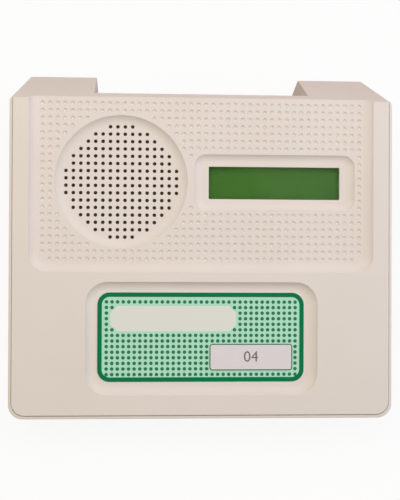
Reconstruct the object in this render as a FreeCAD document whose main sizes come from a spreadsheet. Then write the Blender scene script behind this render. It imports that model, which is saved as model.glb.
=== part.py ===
import FreeCAD, Part
import math
import operator
import os
import Sketcher
from FreeCAD import Placement, Rotation, Vector

# Desk intercom master station: a wedge-shaped two-part plastic case with a sloping panel, a loudspeaker
# behind a moulded grille, a character display, a recessed label, and a rear bay for the line cables.
# Millimetres. X runs to the right, Y to the rear, Z up; the origin is on the desk, under the middle
# of the case. Places on the panel are given as x from its centre line, u down the slope from its
# rear edge, and depth below its face.

SIZES = {
    # Case, outside
    "case_width": 188,
    "panel_length": 156,
    "panel_tilt": 13,
    "front_height": 22.9,
    "front_lean": 8,
    "side_lean": 6.7,
    "facet_length": 46.9,
    "facet_lean": 35,
    "front_corner": 7,
    "rear_corner": 2,
    "base_round": 1,
    "wall": 2.5,
    # Step and groove round the panel
    "ledge_width": 1.7,
    "ledge_drop": 0.8,
    "panel_corner": 6.4,
    "panel_round": 0.3,
    "rim_round": 0.5,
    "groove_width": 0.4,
    "groove_depth": 0.6,
    # Joint between the shells
    "seam_width": 0.5,
    "seam_height": 0.6,
    "tongue_height": 2,
    "tongue_root": 3,
    "tongue_thickness": 1.2,
    "tongue_clearance": 0.15,
    "tongue_front": 18,
    # Recesses in the panel
    "skin": 2.2,
    "recess_margin": 9.5,
    "recess_length": 84.8,
    "recess_corner": 8.6,
    "recess_depth": 3,
    "recess_slope": 4.7,
    "label_side_gap": 1.5,
    "label_end_gap": 1.25,
    "label_dish_corner": 10.8,
    "label_dish_depth": 2.8,
    "label_dish_slope": 4.6,
    "label_dish_u": 117.05,
    "lcd_x": 35.9,
    "lcd_u": 40.4,
    "lcd_dish_width": 79.8,
    "lcd_dish_length": 27.8,
    "lcd_dish_corner": 6,
    "lcd_dish_depth": 2.1,
    "lcd_dish_slope": 3.7,
    "window_width": 65.3,
    "window_length": 16.1,
    "window_corner": 0.5,
    "speaker_x": -39.8,
    "speaker_u": 40.3,
    "speaker_dish_radius": 32.6,
    "speaker_dish_depth": 2.6,
    "speaker_dish_slope": 4.6,
    "recess_backing": 1,
    # Sound holes, on a square grid
    "grille_pitch": 3.62,
    "grille_margin": 0.1,
    "grille_hole_radius": 0.92,
    # Label and badge
    "label_width": 101.5,
    "label_length": 43.7,
    "label_corner": 6,
    "label_thickness": 0.25,
    "label_x": -0.4,
    "label_u": 116.4,
    "badge_width": 40.8,
    "badge_length": 12.9,
    "badge_corner": 1.4,
    "badge_thickness": 0.4,
    "badge_x": 24.2,
    "badge_u": 126.2,
    # Rear bay and its connector plate
    "bay_width": 107,
    "bay_start": 11,
    "window_lip": 3,
    "plate_width": 96,
    "plate_thickness": 1.5,
    "plate_opening_rise": 1.1,
    "plate_opening_drop": 0.5,
    "plate_clearance": 0.25,
    # Feet
    "foot_radius": 6,
    "foot_height": 3,
    "foot_proud": 2,
    "foot_clearance": 0.2,
    "foot_edge": 0.5,
    "front_foot_margin": 18,
    "rear_foot_margin": 22,
    "front_foot_inset": 16,
    "rear_foot_inset": 13,
    # Case screws and their columns
    "column_radius": 4.5,
    "column_hole_radius": 1.7,
    "counterbore_radius": 3.3,
    "counterbore_depth": 8,
    "front_column_margin": 14,
    "column_gap": 0.5,
    "front_column_inset": 24,
    "rear_column_inset": 4,
    "case_screw_radius": 1.5,
    "case_screw_length": 18,
    "case_screw_head_radius": 2.8,
    "case_screw_head_height": 2,
    "pilot_clearance": 0.05,
    # Display module
    "lens_lap": 2.7,
    "lens_thickness": 1,
    "bezel_width": 71.2,
    "bezel_length": 26.4,
    "bezel_height": 7.3,
    "bezel_sheet": 0.5,
    "bezel_opening_width": 66,
    "bezel_opening_length": 17.4,
    "bezel_clearance": 0.2,
    "glass_thickness": 2.6,
    "lcd_board_side_lap": 4.4,
    "lcd_board_end_lap": 4.8,
    "board_thickness": 1.6,
    "lcd_hole_inset": 2.5,
    "lcd_hole_radius": 1.35,
    "lcd_post_radius": 2.6,
    "lcd_screw_radius": 1.2,
    "lcd_screw_length": 6,
    "lcd_screw_head_radius": 2.2,
    "lcd_screw_head_height": 1.5,
    "driver_chip_radius": 5,
    "driver_chip_height": 1.4,
    "driver_chip_spacing": 26,
    "header_width": 20.3,
    "header_length": 5,
    "header_height": 6,
    "lcd_header_offset": 12.5,
    # Loudspeaker
    "cloth_margin": 2,
    "cloth_thickness": 0.4,
    "flange_radius": 33,
    "flange_thickness": 1,
    "flange_width": 5.4,
    "gasket_width": 4,
    "gasket_thickness": 1.5,
    "basket_depth": 8.6,
    "basket_floor_radius": 20,
    "basket_gap": 0.95,
    "basket_sheet": 0.8,
    "basket_windows": 6,
    "basket_window_start": 1.6,
    "basket_window_end": 0.6,
    "basket_window_width": 12,
    "basket_window_root": 9.6,
    "surround_width": 2.8,
    "cone_depth": 5,
    "cone_thickness": 0.7,
    "coil_radius": 10.05,
    "coil_wall": 0.45,
    "coil_length": 8,
    "gap_clearance": 0.3,
    "cap_radius": 14,
    "cap_thickness": 0.5,
    "surround_thickness": 0.3,
    "surround_roll": 0.7,
    "surround_clearance": 0.15,
    "spider_margin": 1.2,
    "spider_wave": 0.8,
    "spider_thickness": 0.3,
    "spider_count": 6,
    "top_plate_radius": 18,
    "top_plate_thickness": 3,
    "magnet_radius": 19,
    "magnet_gap": 1.95,
    "magnet_thickness": 6,
    "yoke_thickness": 2.5,
    "pole_drop": 0.3,
    "terminal_width": 10,
    "terminal_length": 5,
    "terminal_thickness": 1,
    "wire_pitch": 5,
    "lug_width": 2,
    "lug_thickness": 0.6,
    "lug_length": 2.5,
    "clamp_gap": 0.8,
    "clamp_length": 10,
    "clamp_width": 7,
    "clamp_thickness": 1.2,
    "clamp_post_radius": 3.2,
    "clamp_screw_radius": 1.3,
    "clamp_screw_length": 6,
    "clamp_screw_head_radius": 2.4,
    "clamp_screw_head_height": 1.8,
    # Main circuit board, on posts above the floor
    "main_board_width": 130,
    "main_board_length": 90,
    "board_height": 4,
    "board_gap": 0.5,
    "board_hole_inset": 5,
    "board_hole_radius": 1.6,
    "board_post_radius": 3,
    "board_screw_radius": 1.3,
    "board_screw_length": 5,
    "board_screw_head_radius": 2.6,
    "board_screw_head_height": 1.8,
    # Connectors at the rear edge of the board
    "jack_width": 15.6,
    "jack_length": 15.5,
    "jack_height": 13.4,
    "jack_mouth_width": 11.9,
    "jack_mouth_height": 8.4,
    "jack_mouth_depth": 12,
    "jack_mouth_rise": 3.4,
    "jack_slot_width": 6,
    "jack_slot_depth": 2,
    "first_jack_x": -36,
    "second_jack_x": -17,
    "power_jack_x": 3,
    "power_jack_width": 9,
    "power_jack_length": 13,
    "power_jack_height": 11,
    "power_jack_bore": 3.2,
    "power_jack_pin": 1,
    "power_jack_depth": 9.5,
    "power_jack_axis_height": 6,
    # Trimmers and station number switches
    "trimmer_width": 9.6,
    "trimmer_length": 9.6,
    "trimmer_height": 4.8,
    "trimmer_bore": 3.1,
    "trimmer_bore_depth": 1.5,
    "trimmer_proud": 0.4,
    "rotor_clearance": 0.05,
    "rotor_seat": 0.05,
    "slot_width": 0.8,
    "slot_depth": 0.9,
    "volume_x": 24,
    "volume_hole_radius": 2.6,
    "contrast_x": 52,
    "contrast_y": -4,
    "switch_width": 10,
    "switch_height": 4,
    "switch_bore": 3.6,
    "tens_switch_x": -58,
    "units_switch_x": -58,
    "tens_switch_y": -14,
    "units_switch_y": -26,
    # Chips and the rest on the board; places are from the middle of the board
    "chip_thickness": 3.6,
    "chip_stand": 0.5,
    "leg_width": 0.5,
    "leg_thickness": 0.3,
    "leg_pitch": 2.54,
    "leg_rise": 1.5,
    "micro_length": 52,
    "micro_width": 13.8,
    "micro_legs": 20,
    "micro_x": 22,
    "micro_y": -30,
    "amplifier_length": 20,
    "amplifier_width": 6.4,
    "amplifier_legs": 7,
    "amplifier_x": -30,
    "amplifier_y": -28,
    "crystal_length": 11,
    "crystal_width": 4.6,
    "crystal_height": 3.6,
    "crystal_corner": 2.2,
    "crystal_x": 22,
    "crystal_y": -16,
    "capacitor_radius": 5,
    "capacitor_height": 13,
    "capacitor_edge": 0.8,
    "capacitor_count": 3,
    "capacitor_pitch": 12,
    "capacitor_x": 30,
    "capacitor_y": 9,
    "transformer_width": 14,
    "transformer_length": 16,
    "transformer_height": 12,
    "bobbin_width": 18,
    "bobbin_length": 10,
    "bobbin_height": 9,
    "transformer_pitch": 22,
    "transformer_x": 2,
    "transformer_y": 12,
    "regulator_width": 10,
    "regulator_thickness": 4.5,
    "regulator_height": 9,
    "regulator_tab_height": 15,
    "regulator_tab_thickness": 1.3,
    "regulator_rise": 3,
    "regulator_x": 56,
    "regulator_y": 24,
    "sink_width": 16,
    "sink_length": 9,
    "sink_height": 20,
    "sink_sheet": 1.6,
    # Wiring
    "ribbon_header_y": 25,
    "ribbon_thickness": 0.9,
    "wire_radius": 0.6,
    "speaker_header_width": 9,
    "speaker_header_length": 5.8,
    "speaker_header_height": 4,
    "speaker_plug_height": 3.5,
    "speaker_header_inset": 4.5,
    "wire_reach": 9.73,
}

doc = FreeCAD.newDocument("intercom_master_station")
PIECES = []
OPERATIONS = {"+": operator.add, "-": operator.sub, "*": operator.mul, "/": operator.truediv}
ACROSS = Vector(1, 0, 0)
UPWARDS = Vector(0, 0, 1)
# Share of the shorter run beside a corner that its arc takes up
ARC_SHARE = 0.45


class Size:
    """A number kept together with the sheet expression that gives it."""

    def __init__(self, number, text):
        self.number = number
        self.text = text

    def __add__(self, other):
        return joined(self, "+", other)

    def __radd__(self, other):
        return joined(other, "+", self)

    def __sub__(self, other):
        return joined(self, "-", other)

    def __rsub__(self, other):
        return joined(other, "-", self)

    def __mul__(self, other):
        return joined(self, "*", other)

    def __rmul__(self, other):
        return joined(other, "*", self)

    def __truediv__(self, other):
        return joined(self, "/", other)

    def __neg__(self):
        return joined(-1, "*", self)


def as_size(value):
    """A Size as it is, or a plain number as a Size."""
    if isinstance(value, Size):
        return value
    return Size(value, "(%r)" % value)


def joined(first, sign, second):
    """Two values joined by one of the signs in OPERATIONS."""
    first, second = as_size(first), as_size(second)
    number = OPERATIONS[sign](first.number, second.number)
    return Size(number, "(%s %s %s)" % (first.text, sign, second.text))


def sine(angle):
    return Size(math.sin(math.radians(angle.number)), "sin(%s * 1 deg)" % angle.text)


def cosine(angle):
    return Size(math.cos(math.radians(angle.number)), "cos(%s * 1 deg)" % angle.text)


def tangent(angle):
    return Size(math.tan(math.radians(angle.number)), "tan(%s * 1 deg)" % angle.text)


class Sheet:
    """The spreadsheet of driving dimensions, with one Size for each alias."""

    def __init__(self, table):
        cells = doc.addObject("Spreadsheet::Sheet", "sizes")
        for row, (alias, number) in enumerate(table.items(), start=1):
            cells.set("A%d" % row, alias)
            cells.set("B%d" % row, str(number))
            cells.setAlias("B%d" % row, alias)
            setattr(self, alias, Size(number, "sizes." + alias))


s = Sheet(SIZES)
doc.recompute()

# Main lines of the case. The panel's own frame has its origin at the middle of the panel's rear edge,
# Y up the slope and Z out of the face; the facet and the front wall are measured from it.
facet_angle = s.facet_lean - s.panel_tilt
front_angle = s.panel_tilt - s.front_lean
panel_rise = s.panel_length * sine(s.panel_tilt) + s.ledge_drop * cosine(s.panel_tilt)
panel_run = s.panel_length * cosine(s.panel_tilt) - s.ledge_drop * sine(s.panel_tilt)
facet_run = s.facet_length * sine(s.facet_lean)
facet_fall = s.facet_length * cosine(s.facet_lean)
case_depth = panel_run + facet_run
rear_y = case_depth / 2
front_y = -case_depth / 2
panel_y = rear_y - facet_run
panel_z = s.foot_proud + s.front_height + panel_rise
seam_z = panel_z - facet_fall
bay_y = panel_y + s.bay_start * sine(s.facet_lean)
plate_y = bay_y - s.wall
floor_z = s.foot_proud + s.wall
board_z = floor_z + s.board_height
board_top = board_z + s.board_thickness
board_rear = plate_y - s.plate_thickness - s.board_gap
board_y = board_rear - s.main_board_length / 2
recess_width = s.case_width - 2 * s.recess_margin
label_dish_width = s.label_width + 2 * (s.label_dish_slope + s.label_side_gap)
label_dish_length = s.label_length + 2 * (s.label_dish_slope + s.label_end_gap)
recess_seat = s.recess_depth + s.skin
speaker_seat = s.recess_depth + s.speaker_dish_depth + s.skin
lcd_seat = s.recess_depth + s.lcd_dish_depth + s.skin
label_seat = s.label_dish_depth + s.skin
screw_seat = s.foot_proud + s.counterbore_depth
lcd_board_width = s.bezel_width + 2 * s.lcd_board_side_lap
lcd_board_length = s.bezel_length + 2 * s.lcd_board_end_lap
opening_height = s.jack_height + s.plate_opening_drop + s.plate_opening_rise
volume_z = board_top + s.trimmer_length / 2
speaker_header_y = s.speaker_header_inset - s.main_board_length / 2
# Depths below the panel's face, for the display board and down through the loudspeaker
board_seat = lcd_seat + s.lens_thickness + s.bezel_height
flange_seat = speaker_seat + s.cloth_thickness + s.gasket_thickness
flange_back = flange_seat + s.flange_thickness
basket_floor = flange_back + s.basket_depth
top_plate_back = basket_floor + s.top_plate_thickness
magnet_back = top_plate_back + s.magnet_thickness
cone_top = flange_back
cone_back = cone_top + s.cone_depth
coil_top = cone_back - s.cone_thickness
lug_back = flange_back + (s.terminal_thickness + s.lug_thickness) / 2
# Distances from the loudspeaker's axis
flange_bore = s.flange_radius - s.flange_width
gasket_bore = s.flange_radius - s.gasket_width
clamp_circle = s.flange_radius + s.clamp_gap + s.clamp_post_radius
cone_radius = flange_bore - s.surround_width
basket_bore = s.coil_radius + s.basket_gap
magnet_bore = s.coil_radius + s.magnet_gap
coil_bore = s.coil_radius - s.coil_wall
spider_radius = s.basket_floor_radius - s.spider_margin
spider_pitch = (spider_radius - s.coil_radius) / (s.spider_count + 1.3)
terminal_start = flange_bore + 4 * s.basket_sheet
terminal_end = terminal_start + s.terminal_length


def bind(thing, name, size):
    """Drive a property of thing by the expression of a Size."""
    thing.setExpression(name, as_size(size).text)


def shift(thing, x=0, y=0, z=0):
    """Place thing at x, y, z."""
    for axis, size in zip("xyz", (x, y, z)):
        bind(thing, "Placement.Base." + axis, size)
    return thing


def turn(thing, axis, angle):
    """Turn thing about an axis through its own origin by an angle in degrees."""
    angle = as_size(angle)
    thing.Placement = Placement(thing.Placement.Base, Rotation(axis, angle.number))
    bind(thing, "Placement.Rotation.Angle", angle)
    return thing


def on_panel(thing, x=0, u=0, depth=0):
    """Place thing on the sloping panel, with its own Z along the panel's outward normal."""
    y = panel_y - u * cosine(s.panel_tilt) + depth * sine(s.panel_tilt)
    z = panel_z - u * sine(s.panel_tilt) - depth * cosine(s.panel_tilt)
    return shift(turn(thing, ACROSS, s.panel_tilt), x, y, z)


def on_board(thing, x, y):
    """Place thing on the main board's upper face, x and y from the board's middle."""
    return shift(thing, x, board_y + y, board_top)


def piece(label, thing):
    """Name a finished sub-part and keep it for the export."""
    thing.Label = label
    PIECES.append(thing)
    return thing


def box(label, width, length, height, x=0, y=0, z=0):
    """A block centred on x and y, standing on z."""
    made = doc.addObject("Part::Box", label)
    bind(made, "Length", width)
    bind(made, "Width", length)
    bind(made, "Height", height)
    return shift(made, x - as_size(width) / 2, y - as_size(length) / 2, z)


def rod(label, radius, height, x=0, y=0, z=0):
    """An upright cylinder standing on z."""
    made = doc.addObject("Part::Cylinder", label)
    bind(made, "Radius", radius)
    bind(made, "Height", height)
    return shift(made, x, y, z)


def cut(label, base, tools):
    """Base without the tools."""
    made = doc.addObject("Part::Cut", label)
    made.Base = base
    made.Tool = tools[0] if len(tools) == 1 else fuse(label + "_tools", tools)
    return made


def fuse(label, parts):
    made = doc.addObject("Part::MultiFuse", label)
    made.Shapes = parts
    return made


def common(label, parts):
    made = doc.addObject("Part::MultiCommon", label)
    made.Shapes = parts
    return made


def group(label, parts):
    """Separate solids kept as one sub-part."""
    made = doc.addObject("Part::Compound", label)
    made.Links = parts
    return made


def new_body(label):
    made = doc.addObject("PartDesign::Body", label)
    made.Label = label
    return made


def sketch_on(body, role):
    """A new sketch on one of the body's own origin planes."""
    sketch = body.newObject("Sketcher::SketchObject", body.Label + "_sketch")
    plane = [feature for feature in body.Origin.OriginFeatures if feature.Role == role][0]
    sketch.AttachmentSupport = [(plane, "")]
    sketch.MapMode = "FlatFace"
    return sketch


def fix_point(sketch, line, end, x, y):
    """Fix a point of a sketch at x, y by two dimensions that follow the sheet."""
    for kind, size in (("DistanceX", x), ("DistanceY", y)):
        index = sketch.addConstraint(Sketcher.Constraint(kind, -1, 1, line, end, size.number))
        bind(sketch, "Constraints[%d]" % index, size)


def polygon(sketch, corners):
    """A closed outline through corners, each a pair of sizes."""
    corners = [(as_size(x), as_size(y)) for x, y in corners]
    first = sketch.GeometryCount
    count = len(corners)
    for index, (x, y) in enumerate(corners):
        next_x, next_y = corners[(index + 1) % count]
        start, end = Vector(x.number, y.number, 0), Vector(next_x.number, next_y.number, 0)
        sketch.addGeometry(Part.LineSegment(start, end), False)
    for index, (x, y) in enumerate(corners):
        following = first + (index + 1) % count
        sketch.addConstraint(Sketcher.Constraint("Coincident", first + index, 2, following, 1))
        fix_point(sketch, first + index, 1, x, y)


def circle(sketch, radius, x=0, y=0):
    radius, x, y = as_size(radius), as_size(x), as_size(y)
    index = sketch.addGeometry(Part.Circle(Vector(x.number, y.number, 0), UPWARDS, radius.number), False)
    fix_point(sketch, index, 3, x, y)
    rule = sketch.addConstraint(Sketcher.Constraint("Radius", index, radius.number))
    bind(sketch, "Constraints[%d]" % rule, radius)


def rectangle(sketch, width, length, x=0, y=0):
    half_width, half_length = as_size(width) / 2, as_size(length) / 2
    signs = ((-1, -1), (1, -1), (1, 1), (-1, 1))
    polygon(sketch, [(x + right * half_width, y + up * half_length) for right, up in signs])


def pad(body, sketch, height, midplane=False):
    made = body.newObject("PartDesign::Pad", body.Label + "_pad")
    made.Profile = sketch
    made.Midplane = midplane
    bind(made, "Length", height)
    return made


def pocket_through(body, sketch):
    """Cut the sketch right through the body, both ways."""
    made = body.newObject("PartDesign::Pocket", body.Label + "_pocket")
    made.Profile = sketch
    made.Type = "ThroughAll"
    made.Midplane = True
    doc.recompute()
    return made


def revolve(body, sketch):
    """Turn a sketch on the XZ plane about the body's Z axis."""
    made = body.newObject("PartDesign::Revolution", body.Label + "_turned")
    made.Profile = sketch
    made.ReferenceAxis = (sketch, ["V_Axis"])
    made.Angle = 360
    return made


def fillet(body, base, radius, chosen):
    """Round the edges of base that the test chosen picks."""
    doc.recompute()
    names = ["Edge%d" % (index + 1) for index, edge in enumerate(base.Shape.Edges) if chosen(edge)]
    if not names:
        raise RuntimeError("no edge to round on " + body.Label)
    made = body.newObject("PartDesign::Fillet", body.Label + "_fillet")
    made.Base = (base, names)
    bind(made, "Radius", radius)
    doc.recompute()
    return made


def ends(edge):
    """The two end points of an edge; a closed edge gives one point twice."""
    return edge.Vertexes[0].Point, edge.Vertexes[-1].Point


def is_upright(edge):
    """True for an edge that runs along Z."""
    low, high = ends(edge)
    flat = abs(low.x - high.x) + abs(low.y - high.y)
    return flat < 0.001 and abs(low.z - high.z) > 0.001


def lies_at(height):
    """A test for edges that lie at one height along Z."""
    level = as_size(height).number
    return lambda edge: all(abs(point.z - level) < 0.001 for point in ends(edge))


def slab(label, width, length, thickness, corner, x=0, y=0):
    """A plate on the XY plane, thickness upwards, with rounded corners."""
    body = new_body(label)
    sketch = sketch_on(body, "XY_Plane")
    rectangle(sketch, width, length, x, y)
    fillet(body, pad(body, sketch, thickness), corner, is_upright)
    return body


def turned(label, outline):
    """A ring-shaped body from an outline of (radius, height) corners."""
    body = new_body(label)
    sketch = sketch_on(body, "XZ_Plane")
    polygon(sketch, outline)
    revolve(body, sketch)
    return body


def ring(label, outer, inner, low, height):
    """A flat ring about Z from the height low upwards."""
    high = low + height
    return turned(label, [(inner, low), (outer, low), (outer, high), (inner, high)])


def screw(label, radius, length, head_radius, head_height):
    """A screw with its head below the XY plane and its shank upwards, with a cross slot in the head."""
    shank = rod(label + "_shank", radius, length)
    head = rod(label + "_head", head_radius, head_height, 0, 0, -head_height)
    solid = fuse(label + "_solid", [shank, head])
    slot_length, slot_width, slot_depth = 1.2 * head_radius, head_radius / 4, head_height / 2
    slots = [
        box(label + "_slot", slot_length, slot_width, slot_depth, 0, 0, -head_height),
        box(label + "_slot", slot_width, slot_length, slot_depth, 0, 0, -head_height),
    ]
    return cut(label, solid, slots)


# Case

def inset_corner(corner, first_angle, second_angle, inset):
    """A corner moved inwards; the angles are the directions of the inward normals of its two sides."""
    middle = (first_angle + second_angle) / 2
    reach = inset / cosine((first_angle - second_angle) / 2)
    return corner[0] + reach * cosine(middle), corner[1] + reach * sine(middle)


def case_corners(inset):
    """The side view of the case in the panel's frame, with every wall moved inwards by inset."""
    rim_rear = (s.ledge_drop * tangent(facet_angle), -s.ledge_drop)
    rim_front = (-s.panel_length, -s.ledge_drop)
    front_slope = s.front_height / cosine(s.front_lean)
    toe = (rim_front[0] - front_slope * sine(front_angle), rim_front[1] - front_slope * cosine(front_angle))
    shoulder = (s.facet_length * sine(facet_angle), -s.facet_length * cosine(facet_angle))
    rear_height = seam_z - s.foot_proud
    heel = (shoulder[0] - rear_height * sine(s.panel_tilt), shoulder[1] - rear_height * cosine(s.panel_tilt))
    base, front, panel = 90 - s.panel_tilt, -front_angle, as_size(-90)
    facet, rear, base_again = facet_angle - 180, -180 - s.panel_tilt, -270 - s.panel_tilt
    return [
        inset_corner(toe, base, front, inset),
        inset_corner(rim_front, front, panel, inset),
        inset_corner(rim_rear, panel, facet, inset),
        inset_corner(shoulder, facet, rear, inset),
        inset_corner(heel, rear, base_again, inset),
    ]


def case_form(label, inset, rounded=False):
    """The solid form of the case, walls moved inwards by inset; rounded adds the small outer rounds."""
    inset = as_size(inset)
    body = new_body(label)
    corners = case_corners(inset)
    side_sketch = sketch_on(body, "YZ_Plane")
    polygon(side_sketch, corners)
    pad(body, side_sketch, s.case_width, midplane=True)
    wedge_sketch = sketch_on(body, "XZ_Plane")
    reach = 2 * case_depth
    half_rim = s.case_width / 2 + s.ledge_drop * tangent(s.side_lean) - inset / cosine(s.side_lean)
    for side in (-1, 1):
        polygon(wedge_sketch, [
            (side * half_rim, 0),
            (side * (half_rim - reach * tangent(s.side_lean)), -reach),
            (side * s.case_width, -reach),
            (side * s.case_width, 0),
        ])
    form = pocket_through(body, wedge_sketch)
    front_limit = (2 * s.front_corner - s.panel_length).number
    rim_level = -(s.ledge_drop + inset).number

    def is_side_edge(edge):
        low, high = ends(edge)
        return abs(low.z - high.z) > 1 and low.x * high.x > 0

    form = fillet(body, form, s.front_corner - inset,
                  lambda edge: is_side_edge(edge) and all(point.y < front_limit for point in ends(edge)))
    if rounded:
        heel_y, heel_z = corners[4][0].number, corners[4][1].number
        toe_y, toe_z = corners[0][0].number, corners[0][1].number

        def is_rear_side(edge):
            middle = edge.CenterOfMass
            return is_side_edge(edge) and middle.y > 0 and abs(middle.x) > 1

        def is_rim(edge):
            low, high = ends(edge)
            on_rim = all(abs(point.z - rim_level) < 0.001 for point in (low, high))
            return on_rim and edge.CenterOfMass.y < -1

        def is_base(edge):
            def gap(point):
                run = (point.y - toe_y) * (heel_z - toe_z) - (point.z - toe_z) * (heel_y - toe_y)
                return abs(run) / math.hypot(heel_y - toe_y, heel_z - toe_z)
            return all(gap(point) < 0.001 for point in ends(edge))

        form = fillet(body, form, s.rear_corner, is_rear_side)
        form = fillet(body, form, s.rim_round, is_rim)
        form = fillet(body, form, s.base_round, is_base)
    return on_panel(body)


def panel_prism(label, grow, top):
    """The raised panel's outline, grown by grow, from below the groove up to the height top."""
    body = new_body(label)
    sketch = sketch_on(body, "XY_Plane")
    half = s.case_width / 2 - s.ledge_width + grow
    front = -(s.panel_length - s.ledge_width + grow)
    polygon(sketch, [(-half, front), (half, front), (half, s.wall), (-half, s.wall)])
    depth = s.ledge_drop + s.groove_depth
    base = pad(body, sketch, depth + top)

    def is_front_corner(edge):
        return is_upright(edge) and edge.CenterOfMass.y < -1

    return body, fillet(body, base, s.panel_corner + grow, is_front_corner), depth


def raised_panel():
    """The raised field of the panel, cut off at the rear by the plane of the facet."""
    body, form, depth = panel_prism("raised_panel", as_size(0), as_size(0))
    form = fillet(body, form, s.panel_round, lambda edge: lies_at(depth)(edge) and edge.CenterOfMass.y < 1)
    sketch = sketch_on(body, "YZ_Plane")
    fall = 2 * depth
    lean = tangent(facet_angle)
    polygon(sketch, [
        (-depth * lean, 2 * depth),
        (fall * lean, depth - fall),
        (4 * s.wall, depth - fall),
        (4 * s.wall, 2 * depth),
    ])
    pocket_through(body, sketch)
    return on_panel(body, 0, 0, depth)


def dish(label, width, length, corner, depth, slope):
    """A cutter for a shallow recess with a concave rounded slope; its floor is on the XY plane."""
    sweep = (slope * slope + depth * depth) / (2 * depth)
    extra = 2 * (sweep - slope)
    body = new_body(label)
    sketch = sketch_on(body, "XY_Plane")
    rectangle(sketch, width + extra, length + extra)
    form = fillet(body, pad(body, sketch, sweep + s.wall), corner - slope + sweep, is_upright)
    fillet(body, form, sweep, lies_at(0))
    return body


def round_dish(label, radius, depth, slope):
    """The round form of dish."""
    sweep = (slope * slope + depth * depth) / (2 * depth)
    body = new_body(label)
    sketch = sketch_on(body, "XY_Plane")
    circle(sketch, radius - slope + sweep)
    fillet(body, pad(body, sketch, sweep + s.wall), sweep, lies_at(0))
    return body


def panel_recesses():
    """Cutters for the four recesses of the panel and for the display window."""
    overrun = s.facet_length
    upper = dish("upper_recess", recess_width, s.recess_length + overrun, s.recess_corner,
                 s.recess_depth, s.recess_slope)
    on_panel(upper, 0, (s.recess_length - overrun) / 2, s.recess_depth)
    lcd = dish("lcd_recess", s.lcd_dish_width, s.lcd_dish_length, s.lcd_dish_corner,
               s.lcd_dish_depth, s.lcd_dish_slope)
    on_panel(lcd, s.lcd_x, s.lcd_u, s.recess_depth + s.lcd_dish_depth)
    label = dish("label_recess", label_dish_width, label_dish_length, s.label_dish_corner,
                 s.label_dish_depth, s.label_dish_slope)
    on_panel(label, 0, s.label_dish_u, s.label_dish_depth)
    speaker = round_dish("speaker_recess", s.speaker_dish_radius, s.speaker_dish_depth,
                         s.speaker_dish_slope)
    on_panel(speaker, s.speaker_x, s.speaker_u, s.recess_depth + s.speaker_dish_depth)
    window = slab("lcd_window", s.window_width, s.window_length, 2 * lcd_seat, s.window_corner)
    on_panel(window, s.lcd_x, s.lcd_u, 1.5 * lcd_seat)
    return [upper, lcd, label, speaker, window]


def sound_holes():
    """One cylinder for each sound hole, on a square grid over the floor of the speaker's dish."""
    pitch = SIZES["grille_pitch"]
    reach = (s.speaker_dish_radius - s.speaker_dish_slope - s.grille_margin).number
    radius, depth = SIZES["grille_hole_radius"], 2 * speaker_seat.number
    side = int(reach / pitch) + 1
    holes = []
    for column in range(-side, side):
        for row in range(-side, side):
            x, y = (column + 0.5) * pitch, (row + 0.5) * pitch
            if math.hypot(x, y) < reach:
                holes.append(Part.makeCylinder(radius, depth, Vector(x, y, -depth)))
    made = doc.addObject("Part::Feature", "sound_holes")
    made.Shape = Part.makeCompound(holes)
    return on_panel(made, s.speaker_x, s.speaker_u)


def panel_backing():
    """Blocks that carry the wall on behind each recess."""
    spare = 2 * s.recess_backing
    upper = slab("recess_backing", recess_width + spare, s.recess_length + spare, recess_seat,
                 s.recess_corner)
    on_panel(upper, 0, s.recess_length / 2, recess_seat)
    lcd = slab("lcd_backing", s.lcd_dish_width + spare, s.lcd_dish_length + spare, lcd_seat,
               s.lcd_dish_corner)
    on_panel(lcd, s.lcd_x, s.lcd_u, lcd_seat)
    label = slab("label_backing", label_dish_width + spare, label_dish_length + spare, label_seat,
                 s.label_dish_corner)
    on_panel(label, 0, s.label_dish_u, label_seat)
    speaker = rod("speaker_backing", s.speaker_dish_radius + s.recess_backing, speaker_seat)
    on_panel(speaker, s.speaker_x, s.speaker_u, speaker_seat)
    return [upper, lcd, label, speaker]


def lcd_screw_places():
    """The display board's four screws, in the display's own frame."""
    half_x, half_y = lcd_board_width / 2 - s.lcd_hole_inset, lcd_board_length / 2 - s.lcd_hole_inset
    return [(right * half_x, up * half_y) for right in (-1, 1) for up in (-1, 1)]


def clamp_angles():
    """Directions of the three speaker clamps."""
    return [60 + 120 * index for index in range(3)]


def clamp_place(angle):
    angle = as_size(angle)
    return clamp_circle * cosine(angle), clamp_circle * sine(angle)


def panel_posts():
    """Posts that hold the display board and the speaker clamps, and the pilot holes in them."""
    posts, pilots = [], []
    for x, y in lcd_screw_places():
        post = rod("lcd_post", s.lcd_post_radius, board_seat - recess_seat / 2)
        posts.append(on_panel(post, s.lcd_x + x, s.lcd_u - y, board_seat))
        pilot = rod("lcd_pilot", s.lcd_screw_radius + s.pilot_clearance, s.lcd_screw_length)
        pilots.append(on_panel(pilot, s.lcd_x + x, s.lcd_u - y, board_seat))
    for angle in clamp_angles():
        x, y = clamp_place(angle)
        post = rod("clamp_post", s.clamp_post_radius, flange_back - recess_seat / 2)
        posts.append(on_panel(post, s.speaker_x + x, s.speaker_u - y, flange_back))
        pilot = rod("clamp_pilot", s.clamp_screw_radius + s.pilot_clearance, s.clamp_screw_length)
        pilots.append(on_panel(pilot, s.speaker_x + x, s.speaker_u - y, flange_back))
    return posts, pilots


def column_places():
    """The four case screws, front pair first."""
    front_x, front = s.case_width / 2 - s.front_column_margin, front_y + s.front_column_inset
    rear_x, rear = s.main_board_width / 2 + s.column_gap + s.column_radius, panel_y - s.rear_column_inset
    return [(-front_x, front), (front_x, front), (-rear_x, rear), (rear_x, rear)]


def bay_cut(label):
    """The space of the rear bay, open behind, above and below."""
    length = rear_y - bay_y + s.wall
    return box(label, s.bay_width, length, 2 * panel_z, 0, bay_y + length / 2, -s.wall)


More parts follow.
